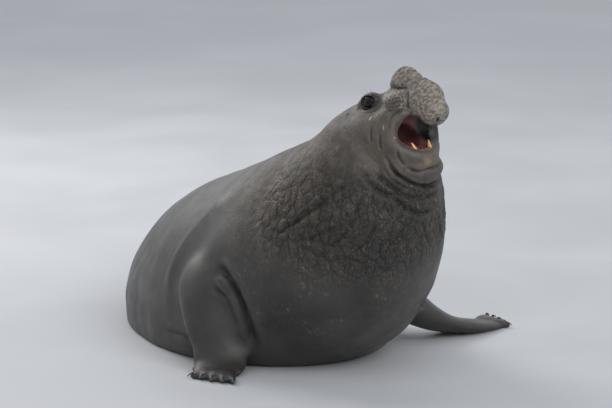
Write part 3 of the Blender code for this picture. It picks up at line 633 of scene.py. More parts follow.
def foot_rows(side):
    """The sections of a hind flipper, and the direction of its outer edge at each."""
    rows = smooth(HIND_FOOT, 28)
    base = np.full(len(rows), HIND_BASE)
    wide = place(base, base, side * rows[:, 5], rows[:, 6]) - place(base, base, 0 * base, 0 * base)
    rows[:, :3] = place(base, rows[:, 0], side * rows[:, 1], rows[:, 2])
    return rows[:, :5], wide


ARMS = {"right": arm_rows(RIGHT_ARM, 1), "left": arm_rows(LEFT_ARM, -1)}
FEET = {"right": foot_rows(-1), "left": foot_rows(1)}


def tail_form():
    """The short flat tail between the hind flippers."""
    run, height, length, wide, thick = TAIL
    base = np.array(HIND_BASE)
    centre = place(base, np.array(run), np.array(0.0), np.array(height))
    ahead = unit(place(base, base + 1, 0 * base, base) - place(base, base, 0 * base, base))
    left = np.array([-ahead[1], ahead[0], 0.0])
    rings, poles = ball_grid(24, 36)
    shape = np.stack([ahead * length, left * wide, [0, 0, thick]])
    return sleeve("tail", rings @ shape + centre, poles @ shape + centre)


def body_form():
    """The trunk as one sleeve from the rump to the throat."""
    stations, angles = np.meshgrid(np.linspace(0, len(PROFILE) - 1, 190),
                                   np.linspace(0, 2 * math.pi, 128, endpoint=False), indexing="ij")
    return sleeve("trunk", trunk(stations, angles))


def bake(obj):
    """Applies an object's modifiers."""
    graph = bpy.context.evaluated_depsgraph_get()
    graph.update()
    mesh = bpy.data.meshes.new_from_object(obj.evaluated_get(graph))
    obj.modifiers.clear()
    old = obj.data
    obj.data = mesh
    bpy.data.meshes.remove(old)


def combine(whole, operation, tools):
    """Joins or cuts an object with others, which are then removed."""
    group = bpy.data.collections.new("tools")
    bpy.context.scene.collection.children.link(group)
    for tool in tools:
        group.objects.link(tool)
    change = whole.modifiers.new("change", "BOOLEAN")
    change.operation = operation
    change.solver = "MANIFOLD"
    change.operand_type = "COLLECTION"
    change.collection = group
    bake(whole)
    for tool in tools:
        bpy.data.objects.remove(tool)
    bpy.data.collections.remove(group)


def points_of(obj):
    """The vertices of an object's mesh as rows."""
    points = np.empty(len(obj.data.vertices) * 3, np.float32)
    obj.data.vertices.foreach_get("co", points)
    return points.reshape(-1, 3).astype(float)


def set_points(obj, points):
    """Puts rows of points back into an object's mesh."""
    obj.data.vertices.foreach_set("co", np.asarray(points, np.float32).ravel())
    obj.data.update()


def fineness():
    """Distances from the face, and how far each is taken to be where the hide is meshed."""
    far = np.linspace(0, 6, 1201)
    rate = np.interp(far, FINE_AT, FINENESS)
    return far, np.concatenate([[0], np.cumsum((rate[1:] + rate[:-1]) / 2 * np.diff(far))])


def stretched(points, back=False):
    """Points drawn away from the face, or drawn back, so that equal cells end up finest
    on the face."""
    centre = from_head(FACE)
    far, drawn = fineness()
    away = points - centre
    reach = np.linalg.norm(away, axis=1, keepdims=True) + 1e-9
    found = np.interp(reach, drawn, far) if back else np.interp(reach, far, drawn)
    return centre + away * found / reach


def soft(value, low, high):
    """Nought below low, one above high and a smooth step between, or the other way round."""
    t = np.clip((value - low) / (high - low), 0, 1)
    return t * t * (3 - 2 * t)


def inside(points, centre, radii, pitch=0.0, yaw=0.0):
    """How far out points of the head's frame lie in an ellipsoid: nought at its middle
    and one on its surface."""
    return np.linalg.norm((points - centre) @ turned(pitch, yaw) / radii, axis=1)


def in_nose(local):
    """How far out points of the head's frame lie in the nose: one on its surface."""
    return np.minimum(*(inside(local, *form) for form in NOSE_REACH))


def one_side(local):
    """Points of the head's frame, those on its right brought over to its left."""
    return local * (1, 0, 1) + np.abs(local) * (0, 1, 0)


def neighbours(mesh):
    """The two ends of every edge of a mesh."""
    ends = np.empty(len(mesh.edges) * 2, np.int32)
    mesh.edges.foreach_get("vertices", ends)
    return ends.reshape(-1, 2)


def pulls(points, ends, count):
    """From each point to the mean of its neighbours, given how many it has."""
    total = np.stack([
        np.bincount(ends[:, 0], points[ends[:, 1], axis], len(points))
        + np.bincount(ends[:, 1], points[ends[:, 0], axis], len(points))
        for axis in range(3)], axis=1)
    return total / count - points


def relaxed(points, ends, weight, rounds):
    """Points drawn towards the mean of their neighbours, each by its own weight, over
    and over."""
    count = np.bincount(ends.ravel(), minlength=len(points))[:, None]
    for _ in range(rounds):
        points = points + weight[:, None] * pulls(points, ends, count)
    return points


def normals_of(obj):
    """The outward direction at each vertex."""
    normals = np.empty(len(obj.data.vertices) * 3, np.float32)
    obj.data.vertices.foreach_get("normal", normals)
    return normals.reshape(-1, 3).astype(float)


def filled(whole, points, ends, weight, rounds):
    """Points moved out of the hollows between the forms: each towards the mean of its
    neighbours, but only along its outward direction and never back in."""
    count = np.bincount(ends.ravel(), minlength=len(points))[:, None]
    for turn in range(rounds):
        if turn % 4 == 0:
            set_points(whole, points)
            normals = normals_of(whole)
        outward = (pulls(points, ends, count) * normals).sum(axis=1)
        points = points + normals * (weight * np.maximum(outward, 0))[:, None]
    return points


def base_hide():
    """The body, head and flippers grown into one closed skin, its cells finest on the face."""
    whole = body_form()
    whole.name = "hide"
    bpy.context.scene.collection.objects.link(whole)
    forms = eggs(HEAD_FORMS) + lips() + [egg("roll", *THROAT_ROLL), tail_form()]
    for rows, wide in ARMS.values():
        forms += paddle(rows, wide, DIGITS, DIGIT_RADII, 0.9)
    for rows, wide in FEET.values():
        forms += paddle(rows, wide, HIND_DIGITS, HIND_RADII, 0.2)
    combine(whole, "UNION", forms)
    x, y, z = EYE
    (ahead, out, up), radii, tilt = LID_OPENING
    cuts = eggs(GAPE_FORMS)
    for side in (1, -1):
        cuts.append(egg("socket", (x, side * y, z), (EYE_RADIUS + SOCKET_GAP,) * 3, 0, side * 60))
        cuts.append(egg("opening", (x + ahead, side * (y + out), z + up), radii, tilt, 0))
    combine(whole, "DIFFERENCE", cuts)
    set_points(whole, stretched(points_of(whole)))
    grow = whole.modifiers.new("grow", "REMESH")
    grow.mode = "VOXEL"
    grow.voxel_size = VOXEL
    bake(whole)
    set_points(whole, stretched(points_of(whole), True))
    return whole


def hashed(cells, seed):
    """An even number from nought to one for each whole-numbered cell and seed."""
    cells = cells.astype(np.int64).astype(np.uint64)
    key = (cells[..., 0] * np.uint64(73856093)) ^ (cells[..., 1] * np.uint64(19349663))
    key = key ^ (cells[..., 2] * np.uint64(83492791)) ^ np.uint64(seed * 2654435761)
    for _ in range(2):
        key = (key ^ (key >> np.uint64(15))) * np.uint64(2246822519)
        key = (key ^ (key >> np.uint64(13))) & np.uint64(0xFFFFFFFF)
    return key.astype(float) / 0xFFFFFFFF


def wobble(points, size, seed):
    """Smooth noise from minus one to one: a random value at each corner of a lattice of
    cells of that size, eased from corner to corner."""
    at = points / size
    low = np.floor(at)
    part = at - low
    part = part * part * (3 - 2 * part)
    total = np.zeros(len(points))
    for corner in np.ndindex(2, 2, 2):
        share = np.prod(np.where(corner, part, 1 - part), axis=1)
        total += share * hashed(low + corner, seed)
    return 2 * total - 1


def strayed(points, size, seeds):
    """A smooth random vector for each point, with one seed for each axis."""
    return np.stack([wobble(points, size, seed) for seed in seeds], axis=1)


def cells(points, size, seed):
    """How far points are from the border of their cell, in cells: nought on the border.
    Each cube of a lattice holds one random centre, and a point's cell is its nearest."""
    at = points / size
    low = np.floor(at)
    first = np.full(len(points), 9.0)
    second = first.copy()
    for step in np.ndindex(3, 3, 3):
        cube = low + np.array(step) - 1
        centre = cube + np.stack([hashed(cube, seed + axis) for axis in range(3)], axis=-1)
        reach = np.linalg.norm(at - centre, axis=1)
        second = np.minimum(second, np.maximum(first, reach))
        first = np.minimum(first, reach)
    return second - first


def away_from(points, path, widest):
    """How far points are from a smooth path, up to a widest distance, and the share of the
    path's length at which each is nearest to it."""
    count = 8 * (len(path) - 1) + 1
    samples = smooth(path, count)
    low, high = samples.min(axis=0) - widest, samples.max(axis=0) + widest
    close = np.flatnonzero(((points > low) & (points < high)).all(axis=1))
    found = np.full(len(points), float(widest))
    share = np.zeros(len(points))
    for number, along in enumerate(samples[1:] - samples[:-1]):
        gone = points[close] - samples[number]
        part = np.clip(gone @ along / (along @ along), 0, 1)
        reach = np.linalg.norm(gone - part[:, None] * along, axis=1)
        nearer = reach < found[close]
        found[close[nearer]] = reach[nearer]
        share[close[nearer]] = (number + part[nearer]) / (count - 1)
    return found, share


def snapped(whole, points):
    """The points of a mesh's skin that lie nearest to given ones."""
    return np.array([whole.closest_point_on_mesh(Vector(at.tolist()))[1] for at in points])


def crease_lines():
    """Every crease as one path on the body or two mirrored ones, and its shape."""
    for path, *shape in HEAD_CREASES:
        rows = smooth(path, 4 * len(path))
        twins = (1, -1) if rows[:, 1].max() < 0 else (1,)
        yield [from_head(rows * (1, side, 1)) for side in twins], shape
    for path, *shape in BODY_CREASES:
        rows = smooth(path, 4 * len(path))
        yield [trunk(rows[:, 0], np.radians(side * rows[:, 1])) for side in (1, -1)], shape
    for path, *shape in ARM_CREASES:
        yield [smooth(path, 4 * len(path))], shape


def folded(whole, points, normals):
    """The hide with its creases, pits and fine wrinkles pressed in and the cracks of the rough
    skin cut, and for each point the shade painted into its colour where it lies deep in one
    of them. A crease is a trough across its path with a swelling on each side, and fades
    out at the path's ends. A crack is the border between two random cells, taller than they
    are wide."""
    push = np.zeros(len(points))
    # shade: how much painted shade each point gets, most deep in a crease, crack, wrinkle or pit
    shade = np.zeros(len(points))
    astray = points + 0.006 * strayed(points, 0.045, (31, 32, 33))
    for paths, (width, depth, swell) in crease_lines():
        found = [away_from(astray, snapped(whole, path), width * 5) for path in paths]
        away, share = found[0]
        for other, at in found[1:]:
            share = np.where(other < away, at, share)
            away = np.minimum(away, other)
        fade = soft(share, 0.0, 0.2) * soft(1 - share, 0.0, 0.2)
        trough = np.exp(-(away / width) ** 1.3) * fade
        edges = np.exp(-((away - 2.2 * width) / (1.3 * width)) ** 2) * fade
        push += swell * edges - depth * trough
        shade = np.maximum(shade, trough * (0 < depth) * (width < 0.03))
    half = one_side(to_head(points))
    for centre, radii, pitch, yaw, depth in PITS:
        hollow = np.clip(1 - inside(half, centre, radii, pitch, yaw) ** 2, 0, 1)
        push -= depth * hollow
        shade = np.maximum(shade, np.sqrt(hollow))
    rough = roughness_of(points)
    bent = points * (1, 1, 0.66)
    bent += 0.014 * strayed(points, 0.06, (11, 12, 13))
    for size, seed, depth in ((0.056, 5, 0.0085), (0.029, 8, 0.0025)):
        border = np.exp(-(cells(bent, size, seed) / 0.15) ** 1.5) * rough
        push -= depth * border
        shade = np.maximum(shade, 0.8 * border)
    push += 0.004 * wobble(points, 0.16, 3) + 0.0025 * wobble(points, 0.07, 4) * (0.3 + rough)
    lines = wrinkled(to_head(points))
    return points + normals * (push - 0.0022 * lines)[:, None], np.maximum(shade, 0.20 * lines)


def wrinkled(local):
    """Fine wrinkles of the nose, snout, cheeks and throat, as a share of their depth. They
    lie where a stretched noise passes nought: across the nose its cells are long from side
    to side, and elsewhere they ring the mouth."""
    nose = 1 - soft(in_nose(local), 0.90, 1.05)
    across = wobble(local * (1, 0.16, 1), 0.011, 41)
    gape = inside(local, *GAPE_FORMS[0][:3])
    ringed = np.stack([gape * 0.115, local[:, 0] * 0.16,
                       local[:, 2] * 0.16 + local[:, 1] * 0.05], axis=1)
    round_mouth = wobble(ringed, 0.012, 42)
    far = np.linalg.norm(local - FACE, axis=1)
    amount = soft(gape, 1.05, 1.35) * (1 - soft(far, 0.30, 0.46)) * (1 - nose)
    eyes = np.linalg.norm(one_side(local) - EYE, axis=1)
    amount *= soft(eyes, 0.07, 0.12) * (0.45 + 0.55 * soft(wobble(local, 0.10, 43), -0.4, 0.3))
    return (nose * np.exp(-np.abs(across) / 0.10)
            + 0.8 * amount * np.exp(-np.abs(round_mouth) / 0.10))


def roughness_of(points):
    """How rough and cracked the skin is: one in the middle of the neck's and chest's rough
    part and nought outside it and on the face."""
    reach = np.linalg.norm((points - ROUGH_PLACE) / ROUGH_REACH, axis=1)
    face = 1 - soft(np.linalg.norm(to_head(points) - FACE, axis=1), 0.26, 0.36)
    return (1 - soft(reach, 0.65, 1.15)) * (1 - face)


def mark(obj, name, values):
    """Keeps one number for each vertex of an object, for its material to read."""
    layer = obj.data.attributes.new(name, "FLOAT", "POINT")
    layer.data.foreach_set("value", np.asarray(values, np.float32))


def painted(whole, points):
    """Marks where the hide changes colour or gloss: the mouth, the far inner cheek, dark with
    pigment and painted shade, the nose and its middle band, the chin's tan, the lids, the
    neck's brown, the face, the flecked and the rough skin and the scars."""
    local = to_head(points)
    half = one_side(local)
    blur = 0.10 * wobble(points, 0.03, 21) + 0.06 * wobble(points, 0.012, 22)
    gape = np.minimum(inside(local, *GAPE_FORMS[0][:3]), inside(local, *GAPE_FORMS[1][:3]))
    mark(whole, "mouth", 1 - soft(gape + 0.5 * blur, 1.03, 1.13))
    mark(whole, "lip", 1 - soft(gape + blur, 1.10, 1.34))
    # painted shade over dark pigment on the inside of the far cheek, the animal's left
    far_lip_shade = soft(local[:, 1], 0.075, 0.100) * soft(local[:, 2], -0.285, -0.235)
    mark(whole, "far_cheek_shade", far_lip_shade * (1 - soft(gape, 1.35, 1.75)))
    mark(whole, "nose", 1 - soft(in_nose(local) + blur, 0.90, 1.10))
    band = inside(local, (0.236, 0, 0.012), (0.030, 0.14, 0.10), -40)
    mark(whole, "band", 1 - soft(band + blur, 0.7, 1.1))
    chin = inside(local, (0.192, -0.010, -0.358), (0.040, 0.050, 0.026))
    mark(whole, "tan", 1 - soft(chin + 3.0 * blur, 0.3, 1.5))
    eye = np.array(EYE) + np.array(GAZE) * EYE_RADIUS * 0.8
    lid = inside(half, eye, (0.055, 0.045, 0.040), 10)
    mark(whole, "lid", 1 - soft(lid + 0.3 * blur, 0.88, 1.25))
    neck = np.linalg.norm((points - (0.10, -0.16, 1.00)) / (0.62, 0.55, 0.62), axis=1)
    mark(whole, "brown", 1 - soft(neck + 1.5 * blur, 0.55, 1.15))
    away = np.linalg.norm(local - FACE, axis=1)
    mark(whole, "face", 1 - soft(away + 0.3 * blur, 0.22, 0.40))
    chest = np.linalg.norm((points - (0.20, -0.40, 0.70)) / (0.75, 0.75, 0.60), axis=1)
    mark(whole, "flecked", 1 - soft(chest, 0.60, 1.15))
    mark(whole, "rough", roughness_of(points))
    scar = np.zeros(len(points))
    for place_of, size in SCARS:
        scar = np.maximum(scar, 1 - soft(inside(local, place_of, size) + 5 * blur, 0.5, 1.3))
    mark(whole, "scar", scar)


def made_hide():
    """The whole hide: grown together, eased where flesh runs into flesh, folded, and
    marked for its colours."""
    whole = base_hide()
    points = points_of(whole)
    ends = neighbours(whole.data)
    local = to_head(points)
    face = 1 - soft(np.linalg.norm(local - FACE, axis=1), 0.34, 0.48)
    mouth = 1 - soft(inside(local, *GAPE_FORMS[0][:3]), 1.0, 1.14)
    eyes = 1 - soft(np.linalg.norm(one_side(local) - EYE, axis=1), 0.050, 0.070)
    nose = 1 - soft(inside(local, (0.235, 0, -0.010), (0.15, 0.14, 0.17), -40), 0.85, 1.05)
    points = relaxed(points, ends, 0.5 * (1 - 0.5 * np.maximum(mouth, eyes)), 4)
    still = np.maximum(np.maximum(mouth, eyes), 0.85 * nose)
    points = filled(whole, points, ends, 0.9 * face * (1 - still), 90)
    hands = 1 - soft(points[:, 2], 0.05, 0.14)
    shoulders = np.zeros(len(points))
    for rows, _ in ARMS.values():
        reach, _ = away_from(points, rows[:26:5, :3], 0.6)
        shoulders = np.maximum(shoulders, 1 - soft(reach, 0.25, 0.5))
    for path, *_ in ARM_CREASES:
        reach, _ = away_from(points, path, 0.4)
        shoulders *= soft(reach, 0.05, 0.18)
    shoulders *= (1 - hands) * (1 - face)
    points = filled(whole, points, ends, 0.9 * shoulders, 90)
    points = relaxed(points, ends, 0.5 * (1 - 0.7 * np.maximum(mouth, eyes)), 8)
    set_points(whole, points)
    points, shade = folded(whole, points, normals_of(whole))
    set_points(whole, points)
    # the shade of the creases, cracks, wrinkles and pits, painted into the hide's colour
    mark(whole, "crease", shade)
    thin = whole.modifiers.new("thin", "DECIMATE")
    thin.ratio = HIDE_TRIANGLES / (2 * len(whole.data.polygons))
    bake(whole)
    points = points_of(whole)
    painted(whole, points)
    points += OFFSET
    height = points[:, 2]
    points[:, 2] = np.maximum(height - 0.002 * np.exp(-np.maximum(height, 0) / 0.02), 0)
    set_points(whole, np.clip(points, cad_box[0], cad_box[1]))
    return whole


def gaze_axes(side):
    """The way an eye looks, and the directions ahead and up square to it."""
    gaze = unit(np.array(GAZE) * (1, side, 1))
    up = unit(np.array([0, 0, 1.0]) - gaze * gaze[2])
    ahead = np.cross(up, gaze) * side
    return gaze, ahead, up


def eyeball(name, side):
    """An eyeball: a sphere whose radius rises by a fourteenth over the cornea, a bell
    curve of the angle from the way the eye looks. It is marked with that angle."""
    rings, poles = ball_grid(60, 64)
    gaze, ahead, up = gaze_axes(side)
    axes = np.stack([ahead, up, gaze])
    reach = np.arccos(np.clip(rings[..., 2:], -1, 1))
    swell = 1 + 0.07 * np.exp(-(reach / 0.5) ** 2)
    centre = np.array(EYE) * (1, side, 1)
    ball = sleeve(name, from_head(rings * swell * EYE_RADIUS @ axes + centre) + OFFSET,
                  from_head(poles * EYE_RADIUS * [[1.07], [1.0]] @ axes + centre) + OFFSET)
    mark(ball, "from_gaze", np.append(reach.ravel(), (0.0, math.pi)))
    return ball


def lid_rim(name, side):
    """The rolled rims of both lids as one closed loop. Seen from the eye's centre the
    loop is an ellipse in angles, tilted; its section is a flat ellipse that lies along
    the eyeball, half in it and half in the skin."""
    gaze, ahead, up = gaze_axes(side)
    round_by = np.linspace(0, 2 * math.pi, 120, endpoint=False)
    tilt = math.radians(LID_TILT)
    wide, high = (math.radians(reach) for reach in LID_REACH)
    reach = 1 / np.sqrt((np.cos(round_by) / wide) ** 2 + (np.sin(round_by) / high) ** 2)
    reach *= 1 + 0.05 * np.abs(np.cos(round_by)) ** 6
    out = (np.cos(round_by + tilt)[:, None] * ahead + np.sin(round_by + tilt)[:, None] * up)
    from_eye = np.cos(reach)[:, None] * gaze + np.sin(reach)[:, None] * out
    slope = np.cos(reach)[:, None] * out - np.sin(reach)[:, None] * gaze
    centre = np.array(EYE) * (1, side, 1)
    middle = centre + from_eye * (EYE_RADIUS + 0.0025) + slope * LID_SECTION[0] * 0.75
    angle = np.linspace(0, 2 * math.pi, 16, endpoint=False)[None, :, None]
    rings = (middle[:, None] + LID_SECTION[0] * np.cos(angle) * slope[:, None]
             + LID_SECTION[1] * np.sin(angle) * from_eye[:, None])
    count, sides = rings.shape[:2]
    at = np.arange(count * sides).reshape(count, sides)
    across, along = np.roll(at, -1, axis=1), np.roll(at, -1, axis=0)
    corner = np.roll(across, -1, axis=0)
    faces = np.stack([at, across, corner, along], axis=-1).reshape(-1, 4)
    rim = mesh_object(name, from_head(rings.reshape(-1, 3)) + OFFSET, faces.tolist())
    mark(rim, "outer", np.tile((1 + np.cos(angle.ravel())) / 2, count))
    return rim


def joined(name, parts):
    """Several objects made one, keeping what their vertices are marked with."""
    work = bmesh.new()
    for part in parts:
        work.from_mesh(part.data)
        bpy.data.objects.remove(part)
    mesh = bpy.data.meshes.new(name)
    work.to_mesh(mesh)
    work.free()
    return bpy.data.objects.new(name, mesh)


def fang(root, radius, length, lean, splay, up, rows=14, sides=20):
    """A tooth: a round cone along a curve. From root to tip its radius falls as the power
    0.7 of what is left of the length, and its tip leans back and aside by the square of
    the share gone. It is marked with that share."""
    x, y, z = root
    share = np.linspace(0, 1, rows)
    path = np.stack([x + lean * share**2, y + splay * share**2, z + up * length * share], axis=1)
    round_by = np.linspace(0, 2 * math.pi, sides, endpoint=False)
    size = radius * (1 - share * 0.97) ** 0.7
    size *= 1 + 0.06 * np.exp(-((share - 0.25) / 0.2) ** 2)
    rings = path[:, None] + size[:, None, None] * np.stack(
        [np.cos(round_by), np.sin(round_by), 0 * round_by], axis=1)
    tooth = sleeve("tooth", from_head(rings) + OFFSET)
    mark(tooth, "share", np.append(np.repeat(share, sides), (0.0, 1.0)))
    return tooth


def teeth():
    """The lower and upper canines and the small lower incisors between them."""
    made = []
    for side in (1, -1):
        for (place_of, *size), (lean, splay), up in (
            (LOWER_CANINE, LOWER_CANINE_LEAN, 1), (UPPER_CANINE, UPPER_CANINE_LEAN, -1),
        ):
            x, y, z = place_of
            made.append(fang((x, side * y, z), *size, lean, side * splay, up))
        for forward, across in INCISOR_PLACES:
            root = (forward, side * across, LOWER_CANINE[0][2])
            made.append(fang(root, *INCISOR, *INCISOR_LEAN, 1, 8, 12))
    return joined("teeth", made)


def gum():
    """The gum that the lower teeth stand in: an ellipsoid, dented along its middle and
    raised round each canine, by bell curves."""
    rings, poles = ball_grid(36, 72)
    centre, radii, pitch = GUM
    shape = turned(pitch, 0).T
    points = np.concatenate([rings.reshape(-1, 3), poles])
    lift = 0.20 * np.exp(-((np.abs(points[:, 1]) - 0.72) / 0.16) ** 2) - 0.10 * np.exp(
        -(points[:, 1] / 0.35) ** 2)
    points = points * (1 + lift * np.maximum(points[:, 2], 0))[:, None] * radii @ shape + centre
    rings = points[:-2].reshape(rings.shape)
    return sleeve("gum", from_head(rings) + OFFSET, from_head(points[-2:]) + OFFSET)


def tongue():
    """The tongue: flattened sections along the floor of the mouth. Each is an ellipse
    whose top sinks by a bell curve along the middle, for the groove."""
    rows = smooth(TONGUE, 60)
    round_by = np.linspace(0, 2 * math.pi, 56, endpoint=False)[None, :]
    across, over = np.cos(round_by), np.sin(round_by)
    groove = 0.30 * np.exp(-(across / 0.22) ** 2) * np.maximum(over, 0)
    rings = np.stack([rows[:, :1] + 0 * across, rows[:, 2:3] * across,
                      rows[:, 1:2] + rows[:, 3:4] * (over - groove)], axis=-1)
    return sleeve("tongue_flesh", from_head(rings) + OFFSET)


def hair(root, out, length, thick, droop, sides=5, rows=8):
    """One stiff hair: a thin cone that leaves the skin along out and bends back and down
    by the square of the share gone."""
    share = np.linspace(0, 1, rows)[:, None]
    path = root - out * 0.006 + out * (length + 0.006) * share + droop * length * share**2
    rows_of = np.concatenate([path, thick * (1 - 0.9 * share), thick * (1 - 0.9 * share)], axis=1)
    wide = np.tile(unit(np.cross(out, [0.1, 0.2, 1.0])), (rows, 1))
    return tube("hair", rows_of, wide, sides)


def whiskers(whole):
    """The whiskers in five rows on each pad and three bristles on each brow, each standing
    on the skin, and the low domes that the pads' whiskers grow from."""
    hairs, beds = [], []
    chance = np.random.default_rng(7)
    for side in (1, -1):
        roots = []
        for *row, count in WHISKER_ROWS:
            for share in np.linspace(0, 1, count):
                place_of = spline(row, share * 2)[0] + chance.normal(0, 0.0015, 3)
                length = 0.035 + 0.035 * (1 - share) + 0.015 * chance.random()
                roots.append((place_of, length, 0.0011, True))
        roots += [(np.array(place_of), 0.045, 0.0009, False) for place_of in BROW_ROOTS]
        for place_of, length, thick, bedded in roots:
            at = from_head(place_of * (1, -side, 1)) + OFFSET
            _, foot, normal, _ = whole.closest_point_on_mesh(Vector(at.tolist()))
            foot, normal = np.array(foot), np.array(normal)
            droop = HEAD[:3, :3] @ np.array([-0.45, 0.0, -0.35]) + chance.normal(0, 0.08, 3)
            hairs.append(hair(foot, normal, length, thick, droop))
            if bedded:
                beds.append(dome(foot, normal))
    return joined("whiskers", hairs), joined("whisker_beds", beds)


def dome(foot, normal, radius=0.0050, height=0.0022):
    """A low dome on the skin, half an ellipsoid with its base sunk."""
    side = unit(np.cross(normal, [0.3, 0.5, 0.8]))
    other = np.cross(normal, side)
    tilt = np.radians([112, 84, 58, 32, 12])[:, None]
    round_by = np.linspace(0, 2 * math.pi, 9, endpoint=False)[None, :]
    rings = np.stack([np.sin(tilt) * np.cos(round_by) * radius,
                      np.sin(tilt) * np.sin(round_by) * radius,
                      np.cos(tilt) * height + 0 * round_by], axis=-1)
    return sleeve("bed", foot + rings @ np.stack([side, other, normal]))


def claws():
    """A claw on every digit of the fore flippers: a flattened cone that leaves the top of
    the tip and bends down by the square of the share gone."""
    made = []
    for rows, wide in ARMS.values():
        for path in digit_paths(rows, wide, DIGITS, DIGIT_RADII, 0.9):
            reach = unit(path[2] - path[1])
            side = unit(np.cross([0, 0, 1.0], reach))
            top = np.cross(reach, side)
            share = np.linspace(0, 1, 12)[:, None]
            seat = path[2] - reach * 0.018 + top * DIGIT_RADII[2] * 0.80
            middle = seat + reach * CLAW[0] * share - top * CLAW[0] * 0.42 * share**2
            half = CLAW[1] * (1 - 0.94 * share) ** 0.6
            sections = np.concatenate([middle, half, half * 0.7], axis=1)
            sections[:, :3] += OFFSET
            claw = tube("claw", sections, np.tile(side, (12, 1)), 14)
            mark(claw, "share", np.append(np.repeat(share.ravel(), 14), (0.0, 1.0)))
            made.append(claw)
    return joined("claws", made)


def linked(obj, material, nodes=()):
    """Puts a finished piece in the scene: smooth, with its material, riding on the body."""
    if obj.name not in bpy.context.scene.collection.objects:
        bpy.context.scene.collection.objects.link(obj)
    obj.data.polygons.foreach_set("use_smooth", [True] * len(obj.data.polygons))
    obj.data.materials.clear()
    obj.data.materials.append(material)
    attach(obj, "root")
    if nodes:
        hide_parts(*nodes)
    return obj


def add(tree, kind, inputs, **settings):
    """A shader node with its settings, each input given a number or another's output."""
    node = tree.nodes.new(kind)
    for key, value in settings.items():
        setattr(node, key, value)
    for key, value in inputs.items():
        if isinstance(value, bpy.types.NodeSocket):
            tree.links.new(value, node.inputs[key])
        else:
            node.inputs[key].default_value = value
    return node


def blank(name):
    """A new material, the tree of its nodes and its shader."""
    material = bpy.data.materials.new(name)
    material.use_nodes = True
    tree = material.node_tree
    return material, tree, tree.nodes["Principled BSDF"]


def value_of(tree, name):
    """What the vertices are marked with under a name."""
    return add(tree, "ShaderNodeAttribute", {}, attribute_name=name).outputs["Fac"]


def maths(tree, kind, one, two):
    """Two numbers added, multiplied or otherwise worked out."""
    return add(tree, "ShaderNodeMath", {0: one, 1: two}, operation=kind).outputs[0]


def step(tree, value, low, high, to_low=0.0, to_high=1.0):
    """A smooth step of a number between two values."""
    inputs = {"Value": value, "From Min": low, "From Max": high, "To Min": to_low, "To Max": to_high}
    node = add(tree, "ShaderNodeMapRange", inputs, interpolation_type="SMOOTHSTEP")
    return node.outputs[0]


def mixed(tree, share, one, two):
    """A colour that goes from one to two by a share."""
    one, two = (value if isinstance(value, bpy.types.NodeSocket) else (*value, 1)
                for value in (one, two))
    return add(tree, "ShaderNodeMix", {0: share, 6: one, 7: two}, data_type="RGBA").outputs[2]


def grain(tree, vector, scale, detail=3.0, distortion=0.0):
    """Cloudy noise about a half."""
    inputs = {"Vector": vector, "Scale": scale, "Detail": detail, "Distortion": distortion}
    return add(tree, "ShaderNodeTexNoise", inputs).outputs[0]


def cracks(tree, vector, scale):
    """How far a point is from the border of its cell."""
    return add(tree, "ShaderNodeTexVoronoi", {"Vector": vector, "Scale": scale},
               feature="DISTANCE_TO_EDGE").outputs["Distance"]


def in_head(tree, scale):
    """Coordinates along the head's own axes, stretched."""
    where = add(tree, "ShaderNodeTexCoord", {}).outputs["Object"]
    turn = Matrix(HEAD[:3, :3].T.tolist()).to_euler()
    along = add(tree, "ShaderNodeMapping", {"Vector": where, "Rotation": turn[:]})
    return add(tree, "ShaderNodeMapping", {"Vector": along.outputs[0], "Scale": scale}).outputs[0]


def bumped(tree, shader, heights):
    """Presses patterns into a finish, each with a strength and how deep it is in metres."""
    normal = None
    for height, strength, depth in heights:
        inputs = {"Height": height, "Strength": strength, "Distance": depth}
        if normal is not None:
            inputs["Normal"] = normal
        normal = add(tree, "ShaderNodeBump", inputs).outputs[0]
    tree.links.new(normal, shader.inputs["Normal"])


